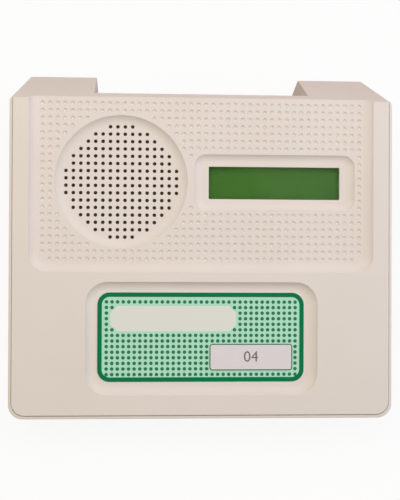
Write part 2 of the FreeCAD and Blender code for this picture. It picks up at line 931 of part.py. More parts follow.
def bay_walls(label):
    """The block that becomes the bay's three walls once the bay is cut out of it."""
    length = rear_y - plate_y
    return box(label, s.bay_width + 2 * s.wall, length, 2 * panel_z, 0, plate_y + length / 2, -s.wall)


def plate_opening(label):
    """The opening in the bay's front wall that the connectors show through."""
    width = s.plate_width - 2 * s.window_lip
    low = board_top - s.plate_opening_drop
    return box(label, width, 4 * s.wall, opening_height, 0, plate_y, low)


def upper_shell():
    """Sloping panel with its recesses, the facet, and the upper part of the walls."""
    skin = case_form("upper_skin", 0, rounded=True)
    groove, form, groove_low = panel_prism("rim_groove", s.groove_width, s.wall)
    on_panel(groove, 0, 0, groove_low)
    solid = fuse("upper_solid", [cut("grooved_skin", skin, [groove]), raised_panel()])
    posts, pilots = panel_posts()
    columns = [rod("upper_column", s.column_radius, panel_z, x, y, seam_z) for x, y in column_places()]
    pilot_radius = s.case_screw_radius + s.pilot_clearance
    pilot_length = s.case_screw_length - (seam_z - screw_seat) + s.pilot_clearance
    column_pilots = [
        rod("column_pilot", pilot_radius, pilot_length, x, y, seam_z) for x, y in column_places()
    ]
    kept = [bay_walls("upper_bay_walls")] + panel_backing() + posts + columns
    hollow = cut("upper_hollow", case_form("upper_inside", s.wall), kept)
    tools = [hollow, bay_cut("upper_bay"), plate_opening("upper_opening"), sound_holes()]
    tools += panel_recesses() + pilots + column_pilots
    above = box("above_seam", 2 * s.case_width, 2 * case_depth, panel_z, 0, 0, seam_z)
    whole = cut("upper_whole", solid, tools)
    piece("upper_shell", common("upper_shell", [whole, above]))


def board_screw_places():
    """The main board's four screws, in the case's frame."""
    half_x = s.main_board_width / 2 - s.board_hole_inset
    half_y = s.main_board_length / 2 - s.board_hole_inset
    return [(right * half_x, board_y + up * half_y) for right in (-1, 1) for up in (-1, 1)]


def foot_places():
    front_x, front = s.case_width / 2 - s.front_foot_margin, front_y + s.front_foot_inset
    rear_x, rear = s.case_width / 2 - s.rear_foot_margin, rear_y - s.rear_foot_inset
    return [(-front_x, front), (front_x, front), (-rear_x, rear), (rear_x, rear)]


def tongue():
    """The rib on the lower shell's rim that locates the upper shell; it stops
    at the bay and short of the low front."""
    outside = s.wall + s.tongue_clearance
    inside = case_form("tongue_inside", outside + s.tongue_thickness)
    root = cut("tongue_root", case_form("tongue_wall", s.wall), [inside])
    tip = cut("tongue_tip", case_form("tongue_outside", outside), [inside])
    wide, deep = 2 * s.case_width, 2 * case_depth
    root_zone = box("root_zone", wide, deep, s.tongue_root, 0, 0, seam_z - s.tongue_root)
    tip_zone = box("tip_zone", wide, deep, s.tongue_height, 0, 0, seam_z)
    rib = fuse("tongue_rib", [common("rib_low", [root, root_zone]), common("rib_high", [tip, tip_zone])])
    near_bay = 3 * s.wall
    bay_gap = box("tongue_bay_gap", s.bay_width + 2 * near_bay, case_depth, panel_z, 0,
                  bay_y - near_bay + case_depth / 2)
    front_gap = box("tongue_front_gap", 2 * s.case_width, 2 * s.tongue_front, panel_z, 0, front_y)
    return cut("tongue", rib, [bay_gap, front_gap])


def lower_shell():
    """Tray with the floor, the lower part of the walls, the board posts and the screw columns."""
    skin = case_form("lower_skin", 0, rounded=True)
    columns = [rod("lower_column", s.column_radius, seam_z, x, y) for x, y in column_places()]
    posts = [rod("board_post", s.board_post_radius, board_z, x, y) for x, y in board_screw_places()]
    kept = [bay_walls("lower_bay_walls")] + columns + posts
    hollow = cut("lower_hollow", case_form("lower_inside", s.wall), kept)
    seam_low = seam_z - s.seam_height
    seam_zone = box("seam_zone", 2 * s.case_width, 2 * case_depth, s.seam_height, 0, 0, seam_low)
    seam = cut("seam_groove", seam_zone, [case_form("seam_inside", s.seam_width)])
    tools = [hollow, seam, bay_cut("lower_bay"), plate_opening("lower_opening")]
    for x, y in column_places():
        tools.append(rod("column_hole", s.column_hole_radius, seam_z, x, y, s.foot_proud))
        tools.append(rod("counterbore", s.counterbore_radius, screw_seat, x, y))
    for x, y in board_screw_places():
        radius, length = s.board_screw_radius + s.pilot_clearance, s.board_screw_length - s.board_thickness
        tools.append(rod("board_pilot", radius, length, x, y, board_z - length))
    for x, y in foot_places():
        depth = s.foot_height - s.foot_proud
        tools.append(rod("foot_recess", s.foot_radius + s.foot_clearance, s.foot_proud + depth, x, y))
    below = box("below_seam", 2 * s.case_width, 2 * case_depth, seam_z)
    tray = common("tray", [cut("lower_whole", skin, tools), below])
    piece("lower_shell", fuse("lower_shell", [tray, tongue()]))


def case_screws():
    made = []
    for x, y in column_places():
        one = screw("case_screw", s.case_screw_radius, s.case_screw_length,
                    s.case_screw_head_radius, s.case_screw_head_height)
        made.append(shift(one, x, y, screw_seat))
    piece("case_screws", group("case_screws", made))


def rubber_feet():
    made = []
    for x, y in foot_places():
        edge = s.foot_edge
        foot = turned("foot", [
            (0, 0), (s.foot_radius - edge, 0), (s.foot_radius, edge),
            (s.foot_radius, s.foot_height), (0, s.foot_height),
        ])
        made.append(shift(foot, x, y))
    piece("rubber_feet", group("rubber_feet", made))


# Label and badge

def label_and_badge():
    label_top = s.label_dish_depth - s.label_thickness
    label = slab("graphic_label", s.label_width, s.label_length, s.label_thickness, s.label_corner)
    piece("graphic_label", on_panel(label, s.label_x, s.label_u, s.label_dish_depth))
    badge = slab("number_badge", s.badge_width, s.badge_length, s.badge_thickness, s.badge_corner)
    piece("number_badge", on_panel(badge, s.badge_x, s.badge_u, label_top))


# Display

def display():
    """Lens, bezel, glass, backlight, board, header, driver chips and screws."""
    lens = slab("lcd_lens", s.window_width + 2 * s.lens_lap, s.window_length + 2 * s.lens_lap,
                s.lens_thickness, s.lens_thickness)
    bezel_front = lcd_seat + s.lens_thickness
    piece("lcd_lens", on_panel(lens, s.lcd_x, s.lcd_u, bezel_front))

    shell = box("bezel_shell", s.bezel_width, s.bezel_length, s.bezel_height)
    inner_width, inner_length = s.bezel_width - 2 * s.bezel_sheet, s.bezel_length - 2 * s.bezel_sheet
    room = box("bezel_room", inner_width, inner_length, s.bezel_height - s.bezel_sheet)
    opening = box("bezel_opening", s.bezel_opening_width, s.bezel_opening_length, 2 * s.bezel_height)
    bezel = cut("lcd_bezel", shell, [room, opening])
    piece("lcd_bezel", on_panel(bezel, s.lcd_x, s.lcd_u, board_seat))

    stack_width = inner_width - 2 * s.bezel_clearance
    stack_length = inner_length - 2 * s.bezel_clearance
    glass_back = bezel_front + s.bezel_sheet + s.glass_thickness
    glass = block("lcd_glass", stack_width, stack_length, s.glass_thickness)
    piece("lcd_glass", on_panel(glass, s.lcd_x, s.lcd_u, glass_back))
    light = block("lcd_backlight", stack_width, stack_length, board_seat - glass_back)
    piece("lcd_backlight", on_panel(light, s.lcd_x, s.lcd_u, board_seat))

    board = board_with_holes("lcd_board", lcd_board_width, lcd_board_length, s.lcd_hole_radius,
                             lcd_screw_places())
    board_back = board_seat + s.board_thickness
    piece("lcd_board", on_panel(board, s.lcd_x, s.lcd_u, board_back))
    header = block("lcd_header", s.header_width, s.header_length, s.header_height)
    piece("lcd_header", on_panel(header, s.lcd_x, s.lcd_u - s.lcd_header_offset,
                                 board_back + s.header_height))
    chips = []
    for side in (-1, 1):
        chip = turned("driver_chip", [
            (0, 0), (s.driver_chip_radius / 2, 0), (s.driver_chip_radius, s.driver_chip_height),
            (0, s.driver_chip_height),
        ])
        chips.append(on_panel(chip, s.lcd_x + side * s.driver_chip_spacing / 2, s.lcd_u,
                              board_back + s.driver_chip_height))
    piece("lcd_driver_chips", group("lcd_driver_chips", chips))
    screws = []
    for x, y in lcd_screw_places():
        one = screw("lcd_screw", s.lcd_screw_radius, s.lcd_screw_length,
                    s.lcd_screw_head_radius, s.lcd_screw_head_height)
        screws.append(on_panel(one, s.lcd_x + x, s.lcd_u - y, board_back))
    piece("lcd_screws", group("lcd_screws", screws))


def block(label, width, length, height, x=0, y=0, z=0):
    """A box that can be placed again as a whole."""
    return group(label, [box(label + "_block", width, length, height, x, y, z)])


def board_with_holes(label, width, length, hole_radius, places):
    """A circuit board on the XY plane with round holes at places."""
    body = new_body(label)
    sketch = sketch_on(body, "XY_Plane")
    rectangle(sketch, width, length)
    pad(body, sketch, s.board_thickness)
    holes = sketch_on(body, "XY_Plane")
    for x, y in places:
        circle(holes, hole_radius, x, y)
    pocket_through(body, holes)
    return body


# Loudspeaker, in its own frame: the origin is on the panel's face over its axis, heights are negative

def on_speaker(label, thing):
    """Name a speaker piece and put it on the speaker's axis."""
    return piece(label, on_panel(thing, s.speaker_x, s.speaker_u))


def speaker_frame():
    """Pressed basket: flange, slanted wall with windows, and the floor that carries the magnet."""
    wall_top = flange_bore + s.basket_sheet
    body = turned("speaker_frame", [
        (s.flange_radius, -flange_seat),
        (s.flange_radius, -flange_back),
        (wall_top + s.basket_sheet, -flange_back),
        (s.basket_floor_radius + s.basket_sheet, -basket_floor),
        (basket_bore, -basket_floor),
        (basket_bore, s.flange_thickness - basket_floor),
        (s.basket_floor_radius, s.flange_thickness - basket_floor),
        (flange_bore, -flange_back),
        (flange_bore, -flange_seat),
    ])
    sketch = sketch_on(body, "XY_Plane")
    wide, narrow = s.basket_window_width / 2, s.basket_window_root / 2
    inner, outer = s.basket_floor_radius + s.basket_window_start, flange_bore - s.basket_window_end
    polygon(sketch, [(inner, -narrow), (outer, -wide), (outer, wide), (inner, narrow)])
    window = pocket_through(body, sketch)
    pattern = body.newObject("PartDesign::PolarPattern", "basket_windows")
    pattern.Originals = [window]
    pattern.Axis = (sketch, ["N_Axis"])
    pattern.Angle = 360
    bind(pattern, "Occurrences", s.basket_windows)
    body.Tip = pattern
    on_speaker("speaker_frame", body)


def speaker_motor():
    """Top plate, ring magnet, and the yoke with its pole."""
    gap_bore = s.coil_radius + s.gap_clearance
    plate = ring("speaker_top_plate", s.top_plate_radius, gap_bore, -top_plate_back, s.top_plate_thickness)
    on_speaker("speaker_top_plate", plate)
    magnet = ring("speaker_magnet", s.magnet_radius, magnet_bore, -magnet_back, s.magnet_thickness)
    on_speaker("speaker_magnet", magnet)
    pole = coil_bore - s.gap_clearance
    pole_top = -(basket_floor + s.pole_drop)
    back = -(magnet_back + s.yoke_thickness)
    yoke = turned("speaker_yoke", [
        (0, back), (s.top_plate_radius, back), (s.top_plate_radius, -magnet_back),
        (pole, -magnet_back), (pole, pole_top), (0, pole_top),
    ])
    on_speaker("speaker_yoke", yoke)


def speaker_moving_parts():
    """Paper cone, dust cap and voice coil, which move together along the axis."""
    cone = turned("speaker_cone", [
        (s.coil_radius, -cone_back), (cone_radius, -(cone_top + s.cone_thickness)),
        (cone_radius, -cone_top), (s.coil_radius, -coil_top),
    ])
    on_speaker("speaker_cone", cone)
    coil = ring("voice_coil", s.coil_radius, coil_bore, -(coil_top + s.coil_length), s.coil_length)
    on_speaker("voice_coil", coil)

    drop = math.sqrt(SIZES["cap_radius"] ** 2 - SIZES["coil_radius"] ** 2)
    centre = -coil_top - Size(drop, "sqrt(sizes.cap_radius ^ 2 - sizes.coil_radius ^ 2)")
    outer = doc.addObject("Part::Sphere", "cap_outer")
    bind(outer, "Radius", s.cap_radius)
    inner = doc.addObject("Part::Sphere", "cap_inner")
    bind(inner, "Radius", s.cap_radius - s.cap_thickness)
    zone = rod("cap_zone", s.cap_radius, s.cap_radius, 0, 0, -coil_top)
    shell = cut("cap_shell", shift(outer, 0, 0, centre), [shift(inner, 0, 0, centre)])
    on_speaker("speaker_dust_cap", common("speaker_dust_cap", [shell, zone]))


def speaker_suspension():
    """Rolled surround and corrugated spider, the two soft rings that carry the cone."""
    thickness, roll = s.surround_thickness, s.surround_roll
    outside = gasket_bore - s.surround_clearance
    rim_top = thickness - flange_seat
    crest = rim_top + roll
    foot = thickness - cone_top
    inner = cone_radius + thickness
    surround = turned("speaker_surround", [
        (outside, -flange_seat), (outside, rim_top), (flange_bore + roll / 2, rim_top),
        (flange_bore - roll / 2, crest), (inner + roll, crest), (inner - thickness, rim_top),
        (inner - thickness, foot), (inner - 4 * thickness, foot), (inner - 4 * thickness, -cone_top),
        (inner, -cone_top), (inner, -flange_seat), (inner + roll + thickness / 2, crest - thickness),
        (flange_bore - roll / 2 - thickness / 2, crest - thickness),
        (flange_bore + roll / 4, -flange_seat),
    ])
    on_speaker("speaker_surround", surround)

    count = SIZES["spider_count"]
    seat = s.flange_thickness - basket_floor
    high = seat + s.spider_thickness
    upper, lower = [], []
    for index in range(count + 1):
        radius = s.coil_radius + (index + 0.5) * spider_pitch
        height = seat + s.spider_wave + (s.spider_wave if index % 2 else 0)
        upper.append((radius, height + s.spider_thickness))
        lower.append((radius, height))
    start = seat + s.spider_wave
    outline = [(s.coil_radius, start), (s.coil_radius, start + s.spider_thickness)] + upper
    rim_start = spider_radius - spider_pitch / 2
    outline += [(rim_start, high), (spider_radius, high), (spider_radius, seat), (rim_start, seat)]
    outline += lower[::-1]
    on_speaker("speaker_spider", turned("speaker_spider", outline))


def speaker_seat_parts():
    """Cloth, gasket, clamps, clamp screws and solder terminals."""
    disc = rod("cloth_disc", s.flange_radius - s.cloth_margin, s.cloth_thickness, 0, 0,
               -(speaker_seat + s.cloth_thickness))
    on_speaker("grille_cloth", group("grille_cloth", [disc]))
    gasket = ring("speaker_gasket", s.flange_radius, gasket_bore, -flange_seat, s.gasket_thickness)
    on_speaker("speaker_gasket", gasket)

    clamps, screws = [], []
    clamp_back = flange_back + s.clamp_thickness
    for angle in clamp_angles():
        x, y = clamp_place(angle)
        plate = slab("speaker_clamp_plate", s.clamp_length, s.clamp_width, s.clamp_thickness,
                     s.clamp_thickness, -s.clamp_screw_head_radius / 2)
        hole = rod("speaker_clamp_hole", s.clamp_screw_radius + s.pilot_clearance, 2 * s.clamp_thickness)
        clamp = turn(cut("speaker_clamp", plate, [hole]), UPWARDS, angle)
        clamps.append(shift(clamp, x, y, -clamp_back))
        one = screw("clamp_screw", s.clamp_screw_radius, s.clamp_screw_length,
                    s.clamp_screw_head_radius, s.clamp_screw_head_height)
        screws.append(shift(one, x, y, -clamp_back))
    on_speaker("speaker_clamps", group("speaker_clamps", clamps))
    on_speaker("speaker_clamp_screws", group("speaker_clamp_screws", screws))

    strip_back = flange_back + s.terminal_thickness
    strip = box("terminal_strip", s.terminal_width, s.terminal_length, s.terminal_thickness,
                0, -(terminal_start + s.terminal_length / 2), -strip_back)
    lugs = [
        box("terminal_lug", s.lug_width, s.lug_length, s.lug_thickness, side * s.wire_pitch / 2,
            -(terminal_end + s.lug_length / 2), -lug_back)
        for side in (-1, 1)
    ]
    on_speaker("speaker_terminals", fuse("speaker_terminals", [strip] + lugs))


# Main board and what it carries

def main_board():
    places = [(x, y - board_y) for x, y in board_screw_places()]
    board = board_with_holes("main_board", s.main_board_width, s.main_board_length,
                             s.board_hole_radius, places)
    piece("main_board", shift(board, 0, board_y, board_z))
    screws = []
    for x, y in board_screw_places():
        one = screw("board_screw", s.board_screw_radius, s.board_screw_length,
                    s.board_screw_head_radius, s.board_screw_head_height)
        screws.append(shift(turn(one, ACROSS, 180), x, y, board_top))
    piece("main_board_screws", group("main_board_screws", screws))


def chip(label, length, width, legs, x, y):
    """A chip on two rows of bent legs."""
    body = new_body(label)
    sketch = sketch_on(body, "YZ_Plane")
    half, low = width / 2, s.chip_stand
    high = low + s.chip_thickness
    polygon(sketch, [(-half, low), (half, low), (half, high), (-half, high)])
    pad(body, sketch, length, midplane=True)
    leg_sketch = sketch_on(body, "YZ_Plane")
    knee = s.chip_stand + s.leg_rise
    inside, outside, bend = half - s.leg_thickness, half + s.leg_rise, s.leg_thickness
    for side in (-1, 1):
        polygon(leg_sketch, [
            (side * inside, knee), (side * (outside - bend), knee), (side * (outside - bend), 0),
            (side * outside, 0), (side * outside, knee + bend), (side * inside, knee + bend),
        ])
    row_length = (legs - 1) * s.leg_pitch
    bind(leg_sketch, "AttachmentOffset.Base.z", row_length / -2)
    leg = pad(body, leg_sketch, s.leg_width, midplane=True)
    doc.recompute()
    row = body.newObject("PartDesign::LinearPattern", label + "_row")
    row.Originals = [leg]
    row.Direction = (leg_sketch, ["N_Axis"])
    bind(row, "Length", row_length)
    bind(row, "Occurrences", legs)
    body.Tip = row
    return piece(label, on_board(body, x, y))


def capacitors():
    made = []
    for index in range(SIZES["capacitor_count"]):
        edge = s.capacitor_edge
        can = turned("capacitor", [
            (0, 0), (s.capacitor_radius, 0), (s.capacitor_radius, s.capacitor_height - edge),
            (s.capacitor_radius - edge, s.capacitor_height), (0, s.capacitor_height),
        ])
        made.append(on_board(can, s.capacitor_x + index * s.capacitor_pitch, s.capacitor_y))
    piece("capacitors", group("capacitors", made))


def line_transformers():
    """Two isolating transformers: an iron core round a bobbin."""
    made = []
    for side in (-1, 1):
        core = box("transformer_core", s.transformer_width, s.transformer_length, s.transformer_height)
        bobbin = box("transformer_bobbin", s.bobbin_width, s.bobbin_length, s.bobbin_height)
        one = fuse("line_transformer", [core, bobbin])
        made.append(on_board(one, s.transformer_x + side * s.transformer_pitch / 2, s.transformer_y))
    piece("line_transformers", group("line_transformers", made))


def crystal():
    can = slab("crystal", s.crystal_length, s.crystal_width, s.crystal_height, s.crystal_corner)
    piece("crystal", on_board(can, s.crystal_x, s.crystal_y))


def regulator():
    """Voltage regulator standing on its legs, with its tab against a folded heat sink."""
    thickness, tab = s.regulator_thickness, s.regulator_tab_thickness
    rise = s.regulator_rise
    parts = [
        box("regulator_case", s.regulator_width, thickness, s.regulator_height, 0, 0, rise),
        box("regulator_tab", s.regulator_width, tab, s.regulator_tab_height, 0, (thickness - tab) / 2, rise),
    ]
    for step in (-1, 0, 1):
        parts.append(box("regulator_leg", 2 * s.leg_width, s.leg_width, 2 * rise, step * s.leg_pitch))
    one = fuse("voltage_regulator", parts)
    piece("voltage_regulator", on_board(one, s.regulator_x, s.regulator_y))

    outer = box("sink_outer", s.sink_width, s.sink_length, s.sink_height)
    room = box("sink_room", s.sink_width - 2 * s.sink_sheet, s.sink_length, 2 * s.sink_height, 0,
               s.sink_sheet, -s.sink_height / 2)
    sink = cut("heat_sink", outer, [room])
    sink_y = s.regulator_y + thickness / 2 + s.sink_length / 2
    piece("heat_sink", on_board(sink, s.regulator_x, sink_y))


def turning_part(name, width, length, height, bore):
    """A square housing with a round blind seat in its top, and the slotted rotor that turns in it."""
    housing = box(name + "_housing", width, length, height)
    seat_floor = height - s.trimmer_bore_depth
    seat = rod(name + "_seat", bore, 2 * s.trimmer_bore_depth, 0, 0, seat_floor)
    body = cut(name + "_body", housing, [seat])
    low = seat_floor + s.rotor_seat
    disc_height = s.trimmer_bore_depth - s.rotor_seat + s.trimmer_proud
    disc = rod(name + "_disc", bore - s.rotor_clearance, disc_height, 0, 0, low)
    slot = box(name + "_slot", 1.5 * bore, s.slot_width, 2 * s.slot_depth, 0, 0,
               low + disc_height - s.slot_depth)
    return body, cut(name + "_rotor", disc, [slot])


def settings():
    """Contrast trimmer, the two station number switches, and the volume trimmer that faces the rear."""
    size = (s.trimmer_width, s.trimmer_length, s.trimmer_height, s.trimmer_bore)
    switch = (s.switch_width, s.switch_width, s.switch_height, s.switch_bore)
    places = {
        "contrast_trimmer": (size, s.contrast_x, s.contrast_y),
        "tens_switch": (switch, s.tens_switch_x, s.tens_switch_y),
        "units_switch": (switch, s.units_switch_x, s.units_switch_y),
    }
    for name, (sizes, x, y) in places.items():
        for part, label in zip(turning_part(name, *sizes), ("_body", "_rotor")):
            piece(name + label, on_board(part, x, y))
    face_y = plate_y - s.plate_thickness - s.plate_clearance - s.trimmer_proud
    for part, label in zip(turning_part("volume_trimmer", *size), ("_body", "_rotor")):
        turn(part, ACROSS, -90)
        shift(part, s.volume_x, face_y - s.trimmer_height, volume_z)
        piece("volume_trimmer" + label, part)


# Connectors

def line_jack(label, x):
    """A line socket: a box with a rectangular mouth and a slot for the plug's latch."""
    shell = box(label + "_shell", s.jack_width, s.jack_length, s.jack_height)
    mouth_y = (s.jack_length - s.jack_mouth_depth) / 2
    mouth = box(label + "_mouth", s.jack_mouth_width, s.jack_mouth_depth, s.jack_mouth_height,
                0, mouth_y, s.jack_mouth_rise)
    slot = box(label + "_slot", s.jack_slot_width, s.jack_mouth_depth, 2 * s.jack_slot_depth,
               0, mouth_y, s.jack_mouth_rise - s.jack_slot_depth)
    jack = cut(label, shell, [mouth, slot])
    piece(label, shift(jack, x, plate_y - s.jack_length / 2, board_top))


def power_jack():
    """A low-voltage power socket with its centre pin."""
    length, axis = s.power_jack_length, s.power_jack_axis_height
    shell = box("power_shell", s.power_jack_width, length, s.power_jack_height)
    bore = turn(rod("power_bore", s.power_jack_bore, s.power_jack_depth), ACROSS, 90)
    shift(bore, 0, length / 2, axis)
    pin = turn(rod("power_pin", s.power_jack_pin, s.power_jack_depth), ACROSS, 90)
    shift(pin, 0, length / 2, axis)
    jack = fuse("power_jack", [cut("power_socket", shell, [bore]), pin])
    piece("power_jack", shift(jack, s.power_jack_x, plate_y - length / 2, board_top))


def connector_plate():
    """The plate behind the bay's opening, with a hole for each connector and for the volume trimmer."""
    margin, clearance = s.window_lip, s.plate_clearance
    low = board_top - s.plate_opening_drop - margin
    height = opening_height + 2 * margin
    blank = box("plate_blank", s.plate_width, s.plate_thickness, height, 0, 0, low)
    deep = 3 * s.plate_thickness
    holes = []
    for x in (s.first_jack_x, s.second_jack_x):
        holes.append(box("jack_hole", s.jack_width + 2 * clearance, deep, s.jack_height + 2 * clearance,
                         x, 0, board_top - clearance))
    holes.append(box("power_hole", s.power_jack_width + 2 * clearance, deep,
                     s.power_jack_height + 2 * clearance, s.power_jack_x, 0, board_top - clearance))
    volume = rod("volume_hole", s.volume_hole_radius, deep)
    holes.append(shift(turn(volume, ACROSS, 90), s.volume_x, deep / 2, volume_z))
    plate = cut("connector_plate", blank, holes)
    piece("connector_plate", shift(plate, 0, plate_y - s.plate_thickness / 2, 0))


# Wiring

def arc_route(points):
    """Straight runs joined by tangent arcs, each as large as its two runs allow."""
    edges, start = [], points[0]
    for before, corner, after in zip(points, points[1:], points[2:]):
        into, out = (corner - before), (after - corner)
        half_turn = into.getAngle(out) / 2
        reach = ARC_SHARE * min(into.Length, out.Length)
        radius = reach / math.tan(half_turn)
        print("arc radius %.1f" % radius)
        into.normalize()
        out.normalize()
        first, last = corner - into * reach, corner + out * reach
        middle_way = (out - into).normalize()
        middle = corner + middle_way * (radius / math.cos(half_turn) - radius)
        edges.append(Part.makeLine(start, first))
        edges.append(Part.Arc(first, middle, last).toShape())
        start = last
    edges.append(Part.makeLine(start, points[-1]))
    return Part.Wire(edges)


def case_point(x, y, z):
    """A fixed point in the case's frame."""
    return Vector(*(as_size(size).number for size in (x, y, z)))


def panel_point(x, u, depth):
    """A fixed point given on the panel."""
    y = panel_y - u * cosine(s.panel_tilt) + depth * sine(s.panel_tilt)
    z = panel_z - u * sine(s.panel_tilt) - depth * cosine(s.panel_tilt)
    return case_point(x, y, z)


def display_ribbon():
    """Flat ribbon from the display's header down to its header on the main board."""
    header = block("ribbon_header", s.header_width, s.header_length, s.header_height)
    piece("ribbon_header", on_board(header, s.lcd_x, s.ribbon_header_y))
    header_back = board_seat + s.board_thickness + s.header_height
    u = s.lcd_u - s.lcd_header_offset
    end_y, end_z = board_y + s.ribbon_header_y, board_top + s.header_height
    run = s.header_length
    route = arc_route([
        panel_point(s.lcd_x, u, header_back),
        panel_point(s.lcd_x, u, header_back + run),
        case_point(s.lcd_x, end_y, end_z + run),
        case_point(s.lcd_x, end_y, end_z),
    ])
    start, slope = route.Vertexes[0].Point, Vector(0, cosine(s.panel_tilt).number, sine(s.panel_tilt).number)
    side = ACROSS * (s.header_width.number / 2)
    half = slope * (s.ribbon_thickness.number / 2)
    corners = [start - side - half, start + side - half, start + side + half, start - side + half]
    profile = Part.makePolygon(corners + corners[:1])
    made = doc.addObject("Part::Feature", "lcd_ribbon")
    made.Shape = route.makePipeShell([profile], True, False)
    piece("lcd_ribbon", made)


def speaker_wiring():
    """Header and plug on the main board, and the two wires from the speaker's lugs."""
    width, length = s.speaker_header_width, s.speaker_header_length
    header = block("speaker_header", width, length, s.speaker_header_height)
    piece("speaker_header", on_board(header, s.speaker_x, speaker_header_y))
    plug = block("speaker_plug", width, length, s.speaker_plug_height, 0, 0, s.speaker_header_height)
    piece("speaker_plug", on_board(plug, s.speaker_x, speaker_header_y))

    plug_top = board_top + s.speaker_header_height + s.speaker_plug_height
    plug_line = board_y + speaker_header_y
    lug_end = s.speaker_u + terminal_end + s.lug_length
    lug_depth = lug_back - s.lug_thickness / 2
    wires = []
    for side in (-1, 1):
        x = s.speaker_x + side * s.wire_pitch / 2
        start = panel_point(x, lug_end, lug_depth)
        bend = panel_point(x, lug_end + s.wire_reach, lug_depth)
        route = arc_route([start, bend, case_point(x, plug_line, plug_top)])
        start, along = route.Edges[0].Vertexes[0].Point, route.Edges[0].tangentAt(0)
        section = Part.Wire(Part.makeCircle(s.wire_radius.number, start, along))
        wires.append(route.makePipeShell([section], True, False))
    made = doc.addObject("Part::Feature", "speaker_wires")
    made.Shape = Part.makeCompound(wires)
    piece("speaker_wires", made)


def check_document():
    """Stop if any object of the document failed, or a sub-part has no sound shape."""
    doc.recompute()
    for thing in doc.Objects:
        if "Invalid" in thing.State or "Error" in thing.State:
            raise RuntimeError("%s failed: %s" % (thing.Label, thing.State))
    for thing in PIECES:
        if thing.Shape.isNull() or not thing.Shape.isValid() or not thing.Shape.Solids:
            raise RuntimeError("%s has no sound shape" % thing.Label)


def export_pieces():
    os.makedirs("parts", exist_ok=True)
    for thing in PIECES:
        thing.Shape.exportStep("parts/%s.step" % thing.Label)


def build():
    upper_shell()
    lower_shell()
    case_screws()
    rubber_feet()
    label_and_badge()
    display()
    speaker_seat_parts()
    speaker_frame()
    speaker_motor()
    speaker_moving_parts()
    speaker_suspension()
    main_board()
    chip("microcontroller", s.micro_length, s.micro_width, s.micro_legs, s.micro_x, s.micro_y)
    chip("amplifier_chip", s.amplifier_length, s.amplifier_width, s.amplifier_legs,
         s.amplifier_x, s.amplifier_y)
    crystal()
    capacitors()
    line_transformers()
    regulator()
    settings()
    line_jack("line_jack_1", s.first_jack_x)
    line_jack("line_jack_2", s.second_jack_x)
    power_jack()
    connector_plate()
    display_ribbon()
    speaker_wiring()
    check_document()
    export_pieces()


build()
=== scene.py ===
import math

import bmesh
import bpy
from bpy.props import FloatProperty, FloatVectorProperty, IntProperty, PointerProperty, StringProperty
from bpy.types import NodeSocket, Operator, Panel, PropertyGroup
from mathutils import Matrix, Vector


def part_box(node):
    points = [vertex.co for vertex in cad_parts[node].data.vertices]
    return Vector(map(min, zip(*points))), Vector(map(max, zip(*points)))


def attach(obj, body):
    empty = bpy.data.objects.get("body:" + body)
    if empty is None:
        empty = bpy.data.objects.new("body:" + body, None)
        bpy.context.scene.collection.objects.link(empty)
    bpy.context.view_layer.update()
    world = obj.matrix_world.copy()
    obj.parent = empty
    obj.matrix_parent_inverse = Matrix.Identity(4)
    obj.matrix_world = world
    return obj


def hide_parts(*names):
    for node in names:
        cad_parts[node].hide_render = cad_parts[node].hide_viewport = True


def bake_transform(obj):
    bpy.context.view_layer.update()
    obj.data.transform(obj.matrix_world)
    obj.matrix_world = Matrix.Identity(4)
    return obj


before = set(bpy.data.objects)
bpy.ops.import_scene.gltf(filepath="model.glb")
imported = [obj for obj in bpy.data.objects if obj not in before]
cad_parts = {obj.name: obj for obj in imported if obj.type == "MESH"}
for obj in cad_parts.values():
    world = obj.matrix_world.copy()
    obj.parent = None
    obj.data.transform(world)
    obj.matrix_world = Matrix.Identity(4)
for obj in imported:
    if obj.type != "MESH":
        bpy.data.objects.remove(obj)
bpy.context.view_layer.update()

bl_info = {
    "name": "Intercom master station",
    "version": (1, 0, 0),
    "blender": (4, 5, 0),
    "location": "View3D > Sidebar > Intercom",
    "description": "Dresses the packed model of a desk intercom master station",
    "category": "Object",
}

MM = 0.001
# Points of a CAD mesh that are closer than this are one
MERGE_DISTANCE = 0.001 * MM


def node_middle(node):
    """The middle of a CAD node's box."""
    low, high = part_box(node)
    return (low + high) / 2


# The panel slopes down towards the front. LABEL is a frame at the middle of the label film, and PANEL
# one on the panel's face at the middle of its rear edge, both with Z out of the panel.
TILT = math.radians(13)
LABEL_SIDEWAYS = -0.4 * MM
LABEL_FROM_EDGE = 116.4 * MM
FILM_THICKNESS = 0.25 * MM
LABEL_DEPTH = 2.8 * MM - FILM_THICKNESS / 2
LABEL = Matrix.Translation(node_middle("graphic_label")) @ Matrix.Rotation(TILT, 4, "X")
PANEL = LABEL @ Matrix.Translation((-LABEL_SIDEWAYS, LABEL_FROM_EDGE, LABEL_DEPTH))
PANEL_OUT = PANEL.to_3x3() @ Vector((0, 0, 1))
RECESS_DEPTH = 3 * MM

# Places without dimples, measured from the middle of the dimple field. The loudspeaker's is round. The
# others are the display with its recess, the bridge between it and the loudspeaker, and the two front
# corners: the middle of each, then its half size, in millimetres.
SPEAKER_PLACE = (-39.8 * MM, 0, 0)
SPEAKER_CLEAR = 34.4 * MM
DIMPLE_GAPS = [
    ((36.2, 0), (39.3, 13.5)), ((-5.43, 0), (1, 10)), ((-77.8, -38), (1, 1)), ((77.8, -38), (1, 1)),
]
# Places without printed dots, in columns and rows from the middle of the dot field: the bare place, as
# two boxes because its corners are cut, and the badge. The middle of each, then its half size.
DOT_GAPS = [((-5, 3.5), (10.6, 2.6)), ((-5, 3.5), (11.6, 1.6)), ((9, -3.5), (7.6, 2.6))]
DOTS_MIDDLE = Vector((0.05 * MM, -0.53 * MM, 0))
# Dimples and dots are repeated hundreds of times, so each is round enough and no more
FACETS = 14

